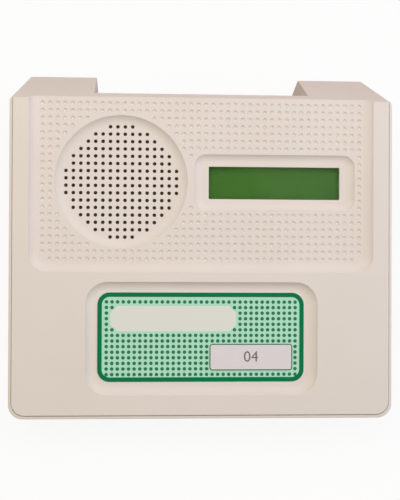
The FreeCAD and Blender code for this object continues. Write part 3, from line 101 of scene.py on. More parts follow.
# The label's printed outline, and the thickness of one layer of ink
LABEL_WIDTH = 101.5 * MM
LABEL_LENGTH = 43.7 * MM
LABEL_CORNER = 6 * MM
INK = 0.01 * MM
BADGE_TOP = 0.2 * MM
DIGIT_SIZE = 7.4 * MM

# In the shading, faces within this cosine of the panel's direction outweigh their neighbours by this much
FLAT_COSINE = 0.9999
FLAT_WEIGHT = 1000

# Two large soft lights hang behind the panel's middle, the left one stronger. Weaker ones stand low: a
# cool one on the right, a pink one behind and a warm one in front. Each has its name, its power in watts,
# its side in metres, its colour and its place, and looks at the origin.
LIGHTS = (
    ("key_left", 1.34, 0.45, "#FFFAEF", (-0.2, 0.15, 0.62)),
    ("key_right", 0.93, 0.45, "#FFF9F8", (0.2, 0.15, 0.62)),
    ("cool_fill", 0.84, 0.3, "#B8CEFF", (0.55, 0.0, 0.25)),
    ("rear_fill", 0.22, 0.45, "#FFB9BA", (0.0, 0.4, 0.45)),
    ("front_fill", 0.18, 0.3, "#FFDC90", (0.0, -0.45, 0.35)),
)
# The camera looks square on at the sloping panel. Its place is in metres, its turn in degrees, and
# the width of its film frame in millimetres.
CAMERA_PLACE = (-0.0324, -0.1266, 0.5303)
CAMERA_TURN = (13.572, -3.527, -0.574)
FRAME_WIDTH = 36
# Half the side of the floor, in metres, and how much of what the eye sees of it is plain white: the
# object's shadow lies in the rest
FLOOR_HALF = 3
FLOOR_WHITE = 0.9


def linear(code):
    """A #RRGGBB colour as linear red, green, blue and alpha."""
    shares = [int(code[start:start + 2], 16) / 255 for start in (1, 3, 5)]
    return tuple(v / 12.92 if v <= 0.04045 else ((v + 0.055) / 1.055) ** 2.4 for v in shares) + (1.0,)


def per_metre(size):
    """The texture scale that gives features of a size in millimetres."""
    return 1 / (size * MM)


def waves_per_metre(spacing):
    """The wave texture's scale for a spacing in millimetres: its bands repeat every tenth of pi."""
    return per_metre(spacing) * math.pi / 10


def add_node(tree, kind, inputs=None, **settings):
    """Add a node, give it its settings, and fill its sockets with values or with links."""
    node = tree.nodes.new(kind)
    for name, value in settings.items():
        setattr(node, name, value)
    for socket, value in (inputs or {}).items():
        if isinstance(value, NodeSocket):
            tree.links.new(value, node.inputs[socket])
        else:
            node.inputs[socket].default_value = value
    return node


def colour_property(label, what, code):
    """A colour that a user may change."""
    return FloatVectorProperty(name=label, description=what, subtype="COLOR", size=4, min=0, max=1,
                               default=linear(code))


def length_property(label, what, size):
    """A length that a user may change, given in millimetres."""
    return FloatProperty(name=label, description=what, unit="LENGTH", min=0, default=size * MM)


class CaseSettings(PropertyGroup):
    """The case plastic and the dimples in the panel"""

    plastic: colour_property("Case plastic", "Colour of the moulded case", "#E9E2DA")
    plastic_shade: colour_property("Plastic shade", "Colour that the case drifts to in clouds", "#E4DCD3")
    pitch: length_property("Dimple pitch", "Distance between neighbouring dimples", 3.63)
    radius: length_property("Dimple radius", "Radius of a dimple at its rim", 1.02)
    depth: length_property("Dimple depth", "Depth of a dimple in its middle", 0.8)
    columns: IntProperty(name="Dimple columns", description="Dimples from left to right", default=44)
    rows: IntProperty(name="Dimple rows", description="Dimples from rear to front", default=22)
    first_row: length_property("First dimple row", "From the panel's rear edge to the first row", 2.07)
    sideways: FloatProperty(name="Dimples sideways", unit="LENGTH", default=-0.12 * MM,
                            description="From the panel's middle to that of the dimple field")


class LabelSettings(PropertyGroup):
    """The label's print and the number on its badge"""

    border: length_property("Border width", "Width of the label's green border", 2.2)
    pitch: length_property("Dot pitch", "Distance between neighbouring printed dots", 2.73)
    radius: length_property("Dot radius", "Radius of a printed dot", 0.88)
    columns: IntProperty(name="Dot columns", description="Printed dots from left to right", default=35)
    rows: IntProperty(name="Dot rows", description="Printed dots from rear to front", default=14)
    border_ink: colour_property("Border ink", "Colour of the border", "#0E774D")
    dot_ink: colour_property("Dot ink", "Colour of the dots", "#337B55")
    field_ink: colour_property("Field ink", "Colour between the dots", "#B3E8CE")
    film: colour_property("Film", "Colour of the bare film", "#E5E8DF")
    number: StringProperty(name="Station number", description="Plain number on the badge", default="04")
    number_ink: colour_property("Number ink", "Colour of the station number", "#7A7076")


class StageSettings(PropertyGroup):
    """The floor, the light and the camera"""

    floor: colour_property("Floor", "Colour of the floor", "#F4F3F1")
    bounce: colour_property("Floor bounce", "Colour of the light that the floor throws back", "#B8948A")
    light_level: FloatProperty(name="Lights", description="Factor on the power of all lights",
                               min=0, default=1.0)
    world_level: FloatProperty(name="Surrounding light", description="Strength of the even light",
                               min=0, default=0.39)
    lens: FloatProperty(name="Camera lens", description="Focal length on a 36 mm frame",
                        unit="CAMERA", min=1, default=73.83)


# Materials

def start_material(name):
    """A new material, with its tree and the object coordinates."""
    material = bpy.data.materials.new(name)
    material.use_nodes = True
    tree = material.node_tree
    tree.nodes.clear()
    return material, tree, add_node(tree, "ShaderNodeTexCoord").outputs["Object"]


def close_material(material, inputs, share=None, first=None, second=None, height=None, depth=0.0):
    """Close a material with one shader, and hand it on.

    Where a share from 0 to 1 is given, the colour lies between two colours by it. Where a height is given,
    the surface has a relief that is depth millimetres deep.
    """
    tree = material.node_tree
    if share:
        tint = add_node(tree, "ShaderNodeMix", {0: share, 6: first, 7: second}, data_type="RGBA")
        inputs["Base Color"] = tint.outputs[2]
    if height:
        bump = add_node(tree, "ShaderNodeBump", {"Height": height, "Distance": depth * MM})
        inputs["Normal"] = bump.outputs[0]
    surface = add_node(tree, "ShaderNodeBsdfPrincipled", inputs)
    add_node(tree, "ShaderNodeOutputMaterial", {"Surface": surface.outputs[0]})
    return material


def beyond(tree, place, axis, middle, half):
    """1 where a coordinate is further than half from middle, in millimetres, and 0 elsewhere."""
    along = add_node(tree, "ShaderNodeSeparateXYZ", {0: place}).outputs[axis]
    offset = add_node(tree, "ShaderNodeMath", {0: along, 1: middle * MM}, operation="SUBTRACT")
    gap = add_node(tree, "ShaderNodeMath", {0: offset.outputs[0]}, operation="ABSOLUTE")
    test = {0: gap.outputs[0], 1: half * MM}
    return add_node(tree, "ShaderNodeMath", test, operation="GREATER_THAN").outputs[0]


def grained(name, colour, shade, grain, depth, roughness, metallic=0.0, cloud=40.0, gloss=0.5):
    """An even surface: its colour drifts to a shade in clouds, over a relief of fine grain."""
    material, tree, place = start_material(name)
    clouds = add_node(tree, "ShaderNodeTexNoise", {
        "Vector": place, "Scale": per_metre(cloud), "Detail": 3.0,
    })
    grains = add_node(tree, "ShaderNodeTexNoise", {
        "Vector": place, "Scale": per_metre(grain), "Detail": 2.0,
    })
    polish = add_node(tree, "ShaderNodeMapRange", {
        "Value": grains.outputs[0], "To Min": roughness - 0.06, "To Max": roughness + 0.06,
    })
    return close_material(material, {
        "Roughness": polish.outputs[0], "Metallic": metallic, "Specular IOR Level": gloss,
    }, clouds.outputs[0], colour, shade, grains.outputs[0], depth)


def matt_ink(name, ink):
    """Screen-printed ink: hundredths of a millimetre thick, dried without gloss, slightly uneven."""
    return grained(name, ink, ink, grain=0.8, depth=0.003, roughness=0.6, gloss=0.05)


def two_part(name, first, second, axis, middle, half, roughness, metallic, grain=0.4, depth=0.01):
    """A node of two finishes: second where it stands further than half from middle along an axis.

    Roughness and the share of metal are given for the first, then for the second.
    """
    material, tree, place = start_material(name)
    outer = beyond(tree, place, axis, middle, half)
    grains = add_node(tree, "ShaderNodeTexNoise", {
        "Vector": place, "Scale": per_metre(grain), "Detail": 2.0,
    })
    shaded = add_node(tree, "ShaderNodeHueSaturation", {"Value": 0.9, "Color": second})
    polish = add_node(tree, "ShaderNodeMapRange", {
        "Value": outer, "To Min": roughness[0], "To Max": roughness[1],
    })
    metal = add_node(tree, "ShaderNodeMapRange", {
        "Value": outer, "To Min": metallic[0], "To Max": metallic[1],
    })
    worn = add_node(tree, "ShaderNodeMix", {
        0: grains.outputs[0], 6: second, 7: shaded.outputs[0],
    }, data_type="RGBA")
    inputs = {"Roughness": polish.outputs[0], "Metallic": metal.outputs[0]}
    return close_material(material, inputs, outer, first, worn.outputs[2], grains.outputs[0], depth)


def ribbed(name, colour, groove, axis, spacing, depth, roughness, metallic=0.0):
    """A surface of fine parallel ribs across one axis, with darker grooves between them."""
    material, tree, place = start_material(name)
    bands = add_node(tree, "ShaderNodeTexWave", {
        "Vector": place, "Scale": waves_per_metre(spacing),
    }, bands_direction=axis)
    inputs = {"Roughness": roughness, "Metallic": metallic}
    return close_material(material, inputs, bands.outputs[1], groove, colour, bands.outputs[1], depth)


def woven(name, thread, gap, spacing, depth, roughness):
    """Plain woven cloth on the panel: threads both ways, with dark gaps where neither lies."""
    material, tree, place = start_material(name)
    laid = add_node(tree, "ShaderNodeMapping", {"Vector": place, "Rotation": (TILT, 0, 0)},
                    vector_type="TEXTURE").outputs[0]
    threads = {"Vector": laid, "Scale": waves_per_metre(spacing)}
    across = add_node(tree, "ShaderNodeTexWave", threads, bands_direction="X")
    along = add_node(tree, "ShaderNodeTexWave", threads, bands_direction="Y")
    cloth = add_node(tree, "ShaderNodeMath", {0: across.outputs[1], 1: along.outputs[1]},
                     operation="MAXIMUM")
    inputs = {"Roughness": roughness, "Sheen Weight": 0.15}
    return close_material(material, inputs, cloth.outputs[0], gap, thread, cloth.outputs[0], depth)


def spark_textured_abs(settings):
    """ABS moulded in a spark-eroded tool: a dull ivory with an even fine grain and no gloss spot."""
    # The real grain is about 0.2 mm; it is drawn at 0.7 mm, so that it shows in the render
    return grained("Spark-textured ABS", settings.plastic, settings.plastic_shade, grain=0.7, depth=0.012,
                   roughness=0.62, gloss=0.2)


def display_polariser():
    """Green polariser film over the character glass: satin, with the character cells just visible."""
    material, tree, place = start_material("Display polariser")
    middle = node_middle("lcd_glass")
    laid = add_node(tree, "ShaderNodeMapping", {
        "Vector": place, "Location": middle, "Rotation": (TILT, 0, 0),
    }, vector_type="TEXTURE").outputs[0]
    # Character cells of 2.95 by 5.55 mm at a pitch of 3.55 by 5.95 mm
    cells = add_node(tree, "ShaderNodeTexBrick", {
        "Vector": laid, "Scale": per_metre(1), "Color1": (1, 1, 1, 1), "Color2": (1, 1, 1, 1),
        "Mortar": (0, 0, 0, 1), "Mortar Size": 0.3, "Brick Width": 3.55, "Row Height": 5.95,
    }, offset=0.0, squash=1.0)
    # The ground turns a trace cooler over the 64 mm from left to right
    across = add_node(tree, "ShaderNodeSeparateXYZ", {0: laid}).outputs["X"]
    side = add_node(tree, "ShaderNodeMapRange", {
        "Value": across, "From Min": -32 * MM, "From Max": 32 * MM,
    })
    ground = add_node(tree, "ShaderNodeMix", {
        0: side.outputs[0], 6: linear("#386515"), 7: linear("#37621D"),
    }, data_type="RGBA")
    faint = add_node(tree, "ShaderNodeMath", {0: cells.outputs[0], 1: 0.12}, operation="MULTIPLY")
    return close_material(material, {"Roughness": 0.5, "Specular IOR Level": 0.15}, faint.outputs[0],
                          ground.outputs[2], linear("#46762A"))


def clear_acrylic():
    """Cast acrylic with an anti-reflection coat: clear, with hardly a reflection, hence the low IOR."""
    material, tree, place = start_material("Clear acrylic")
    scuffs = add_node(tree, "ShaderNodeTexNoise", {"Vector": place, "Scale": per_metre(3), "Detail": 4.0})
    polish = add_node(tree, "ShaderNodeMapRange", {
        "Value": scuffs.outputs[0], "To Min": 0.02, "To Max": 0.06,
    })
    return close_material(material, {
        "Base Color": linear("#F4FAF4"), "Roughness": polish.outputs[0], "IOR": 1.12,
        "Transmission Weight": 1.0,
    })


def solder_masked_board(name):
    """Glass-fibre board under green solder mask: satin green, with copper tracks a shade lighter."""
    material, tree, place = start_material(name)
    # Tracks at 2.54 mm, the pitch of the parts' legs
    tracks = add_node(tree, "ShaderNodeTexBrick", {
        "Vector": place, "Scale": per_metre(1), "Color1": (0, 0, 0, 1), "Color2": (0, 0, 0, 1),
        "Mortar": (1, 1, 1, 1), "Mortar Size": 0.25, "Mortar Smooth": 0.3,
        "Brick Width": 7.62, "Row Height": 2.54,
    })
    weave = add_node(tree, "ShaderNodeTexNoise", {
        "Vector": place, "Scale": per_metre(1.2), "Detail": 3.0,
    })
    mask = add_node(tree, "ShaderNodeMix", {
        0: weave.outputs[0], 6: linear("#125232"), 7: linear("#185C39"),
    }, data_type="RGBA")
    return close_material(material, {"Roughness": 0.34}, tracks.outputs[0], mask.outputs[2],
                          linear("#2E8050"), tracks.outputs[1], 0.03)


def laminated_core():
    """Stacked silicon-steel sheets round a yellow nylon bobbin: dull grey with fine edges, and wax."""
    material, tree, place = start_material("Laminated core and nylon bobbin")
    along = add_node(tree, "ShaderNodeSeparateXYZ", {0: place}).outputs["X"]
    # The two transformers stand 11 mm each side of x = 2 mm, and each has its bobbin outside 7 mm
    for middle in (2.0, 11.0):
        offset = add_node(tree, "ShaderNodeMath", {0: along, 1: middle * MM}, operation="SUBTRACT")
        along = add_node(tree, "ShaderNodeMath", {0: offset.outputs[0]}, operation="ABSOLUTE").outputs[0]
    bobbin = add_node(tree, "ShaderNodeMath", {0: along, 1: 7.01 * MM},
                      operation="GREATER_THAN").outputs[0]
    # Sheets of 0.5 mm
    sheets = add_node(tree, "ShaderNodeTexWave", {"Vector": place, "Scale": waves_per_metre(0.5)},
                      bands_direction="Y")
    steel = add_node(tree, "ShaderNodeMix", {
        0: sheets.outputs[1], 6: linear("#2F2D2B"), 7: linear("#6B6763"),
    }, data_type="RGBA")
    metal = add_node(tree, "ShaderNodeMath", {0: 1.0, 1: bobbin}, operation="SUBTRACT")
    return close_material(material, {"Roughness": 0.5, "Metallic": metal.outputs[0]}, bobbin,
                          steel.outputs[2], linear("#D9B44A"), sheets.outputs[1], 0.02)


def ribbon_jacket():
    """Grey vinyl ribbon: sixteen round cores at 1.27 mm, with the first one marked red."""
    material, tree, place = start_material("Vinyl ribbon jacket")
    cores = add_node(tree, "ShaderNodeTexWave", {"Vector": place, "Scale": waves_per_metre(1.27)},
                     bands_direction="X")
    first_core = node_middle("lcd_ribbon").x / MM - 10.15
    rest = beyond(tree, place, "X", first_core, 1.27)
    grey = add_node(tree, "ShaderNodeMix", {
        0: cores.outputs[1], 6: linear("#7D7F80"), 7: linear("#A9ABAC"),
    }, data_type="RGBA")
    return close_material(material, {"Roughness": 0.42}, rest, linear("#B32A22"), grey.outputs[2],
                          cores.outputs[1], 0.2)


def black_epoxy(name, node, width):
    """Chip moulded in black epoxy, dull and slightly stippled, on bright tinned legs."""
    return two_part(name, linear("#1C1C1D"), linear("#C6C8C9"), "Y", node_middle(node).y / MM,
                    width / 2 + 0.01, (0.55, 0.3), (0.0, 1.0))


# Each plain finish: colour, shade, size of the grain and height of its relief in millimetres, roughness,
# then the share of metal and the size of the clouds in millimetres, where they aren't the usual ones
GRAINED = {
    # Compression-moulded rubber: deep grey black without gloss
    "Moulded rubber": ("#1E1D1C", "#2A2927", 0.6, 0.02, 0.84),
    # Zinc on steel: bright, with a faint blue cast
    "Zinc-plated steel": ("#C3C6CB", "#AEB3B8", 0.5, 0.004, 0.32, 1.0, 4.0),
    # Tin on steel: a warmer, softer shine
    "Tinned steel": ("#C9C8C4", "#B5B4AF", 0.8, 0.004, 0.38, 1.0, 5.0),
    # Stamped steel under black stoving enamel: satin black
    "Black enamelled steel": ("#161617", "#1E1E1F", 0.9, 0.006, 0.42),
    # Opal acrylic: milky white that hides the light-emitting diodes
    "Opal diffuser": ("#E1E7DB", "#D3DBCC", 0.5, 0.004, 0.5),
    # Glass-filled nylon, black: dull, with flow marks
    "Black glass-filled nylon": ("#1A1A1B", "#252526", 0.5, 0.012, 0.56, 0.0, 6.0),
    # White nylon: slightly waxy
    "White nylon": ("#E4E2DA", "#DAD7CC", 0.5, 0.008, 0.45),
    # Blue polyester of trimmers and coding switches: even and satin
    "Blue polyester": ("#24599E", "#1E4E8E", 0.4, 0.008, 0.44),
    # Pressed paper pulp: black with loose fibres
    "Pressed paper pulp": ("#1B1A18", "#2E2C29", 0.8, 0.05, 0.9, 0.0, 2.0),
    # Closed-cell foam: black and porous
    "Foam rubber": ("#1D1D1D", "#2B2B2B", 0.5, 0.08, 0.95, 0.0, 3.0),
    # Sintered ferrite: dark grey ceramic with a dry grain
    "Sintered ferrite": ("#3A3A3C", "#454547", 0.4, 0.015, 0.62, 0.0, 8.0),
    # Anodised aluminium: black with a faint metal sheen
    "Black anodised aluminium": ("#1B1B1C", "#242425", 0.4, 0.006, 0.4, 0.6, 10.0),
    # Drawn nickel-silver can: clean and bright
    "Drawn nickel silver": ("#CFCDC6", "#BFBDB6", 0.6, 0.003, 0.24, 1.0, 6.0),
    # Dark grey ABS of the connector plate: lightly grained
    "Grey ABS": ("#7C7770", "#726D67", 0.6, 0.012, 0.6),
    # Gold flash over nickel, as on spring contacts
    "Gold-flashed contacts": ("#E3BE6A", "#D5AB52", 0.5, 0.002, 0.25, 1.0, 3.0),
    # Turned nickel-plated pin: bright
    "Nickel plate": ("#C8C4BC", "#B9B5AD", 0.4, 0.002, 0.22, 1.0, 3.0),
}
# Each woven finish: thread, gap, spacing of the threads and height of their relief in millimetres, and
# roughness
WOVEN = {
    # Resin-stiffened cotton of the centring ring: tan threads 0.5 mm apart
    "Resin-treated cotton": ("#B98A4E", "#6E4A24", 0.5, 0.05, 0.8),
    # Coated cloth of the cone's edge: soft black
    "Coated cloth": ("#232221", "#121110", 0.4, 0.03, 0.7),
    # Open speaker cloth: brown-black threads 0.45 mm apart, and no light from behind
    "Speaker cloth": ("#6A5B45", "#2C2519", 0.45, 0.06, 0.85),
}


def finish(name):
    """One of the plain finishes, made when it is first asked for."""
    if name not in bpy.data.materials:
        maker, table = (woven, WOVEN) if name in WOVEN else (grained, GRAINED)
        first, second, *measures = table[name]
        maker(name, linear(first), linear(second), *measures)
    return bpy.data.materials[name]


# Pieces

def add_object(name, data):
    """Put data into the scene as an object."""
    item = bpy.data.objects.new(name, data)
    bpy.context.scene.collection.objects.link(item)
    return item


def link_piece(name, mesh, tree=None, values=None):
    """Put a mesh into the scene, shaped by a geometry tree if one is given, as a piece of the case."""
    piece = add_object(name, mesh)
    if tree:
        run_tree(piece, tree, values)
    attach(piece, "case")
    return piece


def dress(material, *nodes):
    """Give CAD nodes a material."""
    for node in nodes:
        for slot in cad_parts[node].material_slots:
            slot.material = material


def coat(name, *nodes):
    """Give CAD nodes one of the plain finishes."""
    dress(finish(name), *nodes)


def mesh_from(name, shape, material=None):
    """A mesh from a bmesh, which is freed."""
    mesh = bpy.data.meshes.new(name)
    shape.to_mesh(mesh)
    shape.free()
    if material:
        mesh.materials.append(material)
    return mesh


def merged_copy(node):
    """A CAD node's mesh, with its loose triangles joined."""
    shape = bmesh.new()
    shape.from_mesh(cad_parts[node].data)
    bmesh.ops.remove_doubles(shape, verts=shape.verts, dist=MERGE_DISTANCE)
    return shape


def shade_softly(mesh, crease):
    """Smooth normals that break at creases, and lie true on the faces that look along the panel."""
    corners = [[] for _ in mesh.vertices]
    for face in mesh.polygons:
        for vertex in face.vertices:
            corners[vertex].append(face)
    weights = [
        face.area * (FLAT_WEIGHT if face.normal.dot(PANEL_OUT) > FLAT_COSINE else 1)
        for face in mesh.polygons
    ]
    limit = math.cos(math.radians(crease))
    normals = []
    for face in mesh.polygons:
        for vertex in face.vertices:
            normal = Vector()
            for other in corners[vertex]:
                if other.normal.dot(face.normal) > limit:
                    normal += other.normal * weights[other.index]
            normals.append(normal.normalized())
    mesh.shade_smooth()
    mesh.normals_split_custom_set(normals)


def rounded_outline(width, length, radius, steps=10):
    """Corners of a rectangle with rounded corners, round its middle."""
    outline = []
    for quarter, (right, up) in enumerate(((1, 1), (-1, 1), (-1, -1), (1, -1))):
        middle_x, middle_y = right * (width / 2 - radius), up * (length / 2 - radius)
        for step in range(steps + 1):
            angle = math.radians(90 * (quarter + step / steps))
            outline.append((middle_x + radius * math.cos(angle), middle_y + radius * math.sin(angle)))
    return outline


def plate(outline, low, high, place, hole=None):
    """A closed plate between two heights of a frame, with a hole of as many corners if one is given."""
    shape = bmesh.new()
    rings = []
    for path in ([outline, hole] if hole else [outline]):
        for height in (low, high):
            rings.append([shape.verts.new(place @ Vector((x, y, height))) for x, y in path])
    count = len(outline)
    for index in range(count):
        following = (index + 1) % count
        for bottom, top in zip(rings[::2], rings[1::2]):
            shape.faces.new((bottom[index], bottom[following], top[following], top[index]))
        if hole:
            for outer, inner in ((rings[0], rings[2]), (rings[1], rings[3])):
                shape.faces.new((outer[index], outer[following], inner[following], inner[index]))
    if not hole:
        shape.faces.new(rings[0])
        shape.faces.new(rings[1])
    bmesh.ops.recalc_face_normals(shape, faces=shape.faces)
    return shape


def start_tree(name, inputs):
    """A geometry tree with a geometry in, a geometry out, and its named inputs."""
    tree = bpy.data.node_groups.new(name, "GeometryNodeTree")
    tree.interface.new_socket("Geometry", in_out="OUTPUT", socket_type="NodeSocketGeometry")
    tree.interface.new_socket("Geometry", in_out="INPUT", socket_type="NodeSocketGeometry")
    for label, kind in inputs.items():
        tree.interface.new_socket(label, in_out="INPUT", socket_type="NodeSocket" + kind)
    return tree, add_node(tree, "NodeGroupInput").outputs


def finish_tree(tree, geometry, material):
    """Make the instances real, give them their material, and close the tree."""
    real = add_node(tree, "GeometryNodeRealizeInstances", {"Geometry": geometry})
    dressed = add_node(tree, "GeometryNodeSetMaterial", {
        "Geometry": real.outputs[0], "Material": material,
    })
    add_node(tree, "NodeGroupOutput", {"Geometry": dressed.outputs[0]})


def run_tree(piece, tree, values):
    """Run a geometry tree on a piece and keep the result as its plain mesh."""
    modifier = piece.modifiers.new(tree.name, "NODES")
    modifier.node_group = tree
    for item in tree.interface.items_tree:
        if item.in_out == "INPUT" and item.name in values:
            modifier[item.identifier] = values[item.name]
    evaluated = piece.evaluated_get(bpy.context.evaluated_depsgraph_get())
    mesh = bpy.data.meshes.new_from_object(evaluated)
    piece.modifiers.remove(modifier)
    mesh.name = piece.name
    piece.data = mesh


def field_of_points(tree, group, gaps, gap_scale):
    """A square grid of points, their positions, and whether each lies in one of the gaps.

    A gap is a middle and a half size, both times the gap scale.
    """
    sizes = {}
    for side, count in (("X", "Columns"), ("Y", "Rows")):
        spaces = add_node(tree, "ShaderNodeMath", {0: group[count], 1: 1.0}, operation="SUBTRACT")
        span = add_node(tree, "ShaderNodeMath", {0: spaces.outputs[0], 1: group["Pitch"]},
                        operation="MULTIPLY")
        sizes["Size " + side] = span.outputs[0]
        sizes["Vertices " + side] = group[count]
    grid = add_node(tree, "GeometryNodeMeshGrid", sizes).outputs["Mesh"]
    position = add_node(tree, "GeometryNodeInputPosition").outputs[0]
    picked = None
    for middle, half in gaps:
        centre, reach = [(x * gap_scale, y * gap_scale, 0) for x, y in (middle, half)]
        offset = add_node(tree, "ShaderNodeVectorMath", {0: position, 1: centre}, operation="SUBTRACT")
        size = add_node(tree, "ShaderNodeVectorMath", {0: offset.outputs[0]}, operation="ABSOLUTE")
        over = add_node(tree, "ShaderNodeVectorMath", {0: size.outputs[0], 1: reach},
                        operation="SUBTRACT")
        axes = add_node(tree, "ShaderNodeSeparateXYZ", {0: over.outputs[0]}).outputs
        outside = add_node(tree, "ShaderNodeMath", {0: axes["X"], 1: axes["Y"]}, operation="MAXIMUM")
        inside = add_node(tree, "ShaderNodeMath", {0: outside.outputs[0], 1: 0.0},
                          operation="LESS_THAN").outputs[0]
        if picked:
            inside = add_node(tree, "ShaderNodeMath", {0: picked, 1: inside},
                              operation="MAXIMUM").outputs[0]
        picked = inside
    return grid, position, picked


def dimple_tree():
    """Cuts a field of round dimples into a shell."""
    tree, group = start_tree("Dimple field", {
        "Columns": "Int", "Rows": "Int", "Pitch": "Float", "Ball radius": "Float", "Ball rise": "Float",
        "Middle": "Vector", "Turn": "Vector", "Speaker place": "Vector", "Speaker clearance": "Float",
        "Material": "Material",
    })
    grid, position, picked = field_of_points(tree, group, DIMPLE_GAPS, MM)
    reach = add_node(tree, "ShaderNodeVectorMath", {0: position, 1: group["Speaker place"]},
                     operation="DISTANCE")
    near = add_node(tree, "ShaderNodeMath", {0: reach.outputs["Value"], 1: group["Speaker clearance"]},
                    operation="LESS_THAN")
    bare = add_node(tree, "ShaderNodeMath", {0: picked, 1: near.outputs[0]}, operation="MAXIMUM")
    points = add_node(tree, "GeometryNodeDeleteGeometry", {
        "Geometry": grid, "Selection": bare.outputs[0],
    })
    ball = add_node(tree, "GeometryNodeMeshUVSphere", {
        "Segments": FACETS, "Rings": FACETS, "Radius": group["Ball radius"],
    })
    rise = add_node(tree, "ShaderNodeCombineXYZ", {"Z": group["Ball rise"]})
    raised = add_node(tree, "GeometryNodeTransform", {
        "Geometry": ball.outputs[0], "Translation": rise.outputs[0],
    })
    balls = add_node(tree, "GeometryNodeInstanceOnPoints", {
        "Points": points.outputs[0], "Instance": raised.outputs[0],
    })
    real = add_node(tree, "GeometryNodeRealizeInstances", {"Geometry": balls.outputs[0]})
    placed = add_node(tree, "GeometryNodeTransform", {
        "Geometry": real.outputs[0], "Translation": group["Middle"], "Rotation": group["Turn"],
    })
    carved = add_node(tree, "GeometryNodeMeshBoolean", {
        "Mesh 1": group["Geometry"], "Mesh 2": placed.outputs[0],
    }, operation="DIFFERENCE", solver="MANIFOLD")
    finish_tree(tree, carved.outputs[0], group["Material"])
    return tree


def dot_tree():
    """Prints a field of round dots."""
    tree, group = start_tree("Dot field", {
        "Columns": "Int", "Rows": "Int", "Pitch": "Float", "Radius": "Float", "Thickness": "Float",
        "Middle": "Vector", "Turn": "Vector", "Material": "Material",
    })
    grid, _, picked = field_of_points(tree, group, DOT_GAPS, bpy.context.scene.intercom_label.pitch)
    points = add_node(tree, "GeometryNodeDeleteGeometry", {"Geometry": grid, "Selection": picked})
    dot = add_node(tree, "GeometryNodeMeshCylinder", {
        "Vertices": FACETS, "Radius": group["Radius"], "Depth": group["Thickness"],
    })
    dots = add_node(tree, "GeometryNodeInstanceOnPoints", {
        "Points": points.outputs[0], "Instance": dot.outputs[0],
    })
    placed = add_node(tree, "GeometryNodeTransform", {
        "Geometry": dots.outputs[0], "Translation": group["Middle"], "Rotation": group["Turn"],
    })
    finish_tree(tree, placed.outputs[0], group["Material"])
    return tree


def row_tree():
    """Repeats a contact in a row along X."""
    tree, group = start_tree("Contact row", {"Count": "Int", "Pitch": "Float", "Material": "Material"})
    step = add_node(tree, "ShaderNodeCombineXYZ", {"X": group["Pitch"]})
    line = add_node(tree, "GeometryNodeMeshLine", {"Count": group["Count"], "Offset": step.outputs[0]})
    row = add_node(tree, "GeometryNodeInstanceOnPoints", {
        "Points": line.outputs[0], "Instance": group["Geometry"],
    })
    finish_tree(tree, row.outputs[0], group["Material"])
    return tree


class INTERCOM_OT_case(Operator):
    """Cut the dimples into the upper shell and give the case, its feet and its screws their finish"""

    bl_idname = "intercom.case"
    bl_label = "Case"

    def execute(self, context):
        settings = context.scene.intercom_case
        plastic = spark_textured_abs(settings)
        # Each dimple is the dent that a ball leaves: wide as its radius, deep as its depth
        ball = (settings.radius ** 2 + settings.depth ** 2) / (2 * settings.depth)
        half_length = (settings.rows - 1) * settings.pitch / 2
        middle = PANEL @ Vector((settings.sideways, -settings.first_row - half_length, -RECESS_DEPTH))
        name = "dimpled_upper_shell"
        piece = link_piece(name, mesh_from(name, merged_copy("upper_shell")), dimple_tree(), {
            "Columns": settings.columns, "Rows": settings.rows, "Pitch": settings.pitch,
            "Ball radius": ball, "Ball rise": ball - settings.depth, "Middle": middle,
            "Turn": (TILT, 0.0, 0.0), "Speaker place": SPEAKER_PLACE, "Speaker clearance": SPEAKER_CLEAR,
            "Material": plastic,
        })
        shade_softly(piece.data, 30)
        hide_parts("upper_shell")
        dress(plastic, "lower_shell")
        coat("Moulded rubber", "rubber_feet")
        coat("Zinc-plated steel", "case_screws")
        return {"FINISHED"}


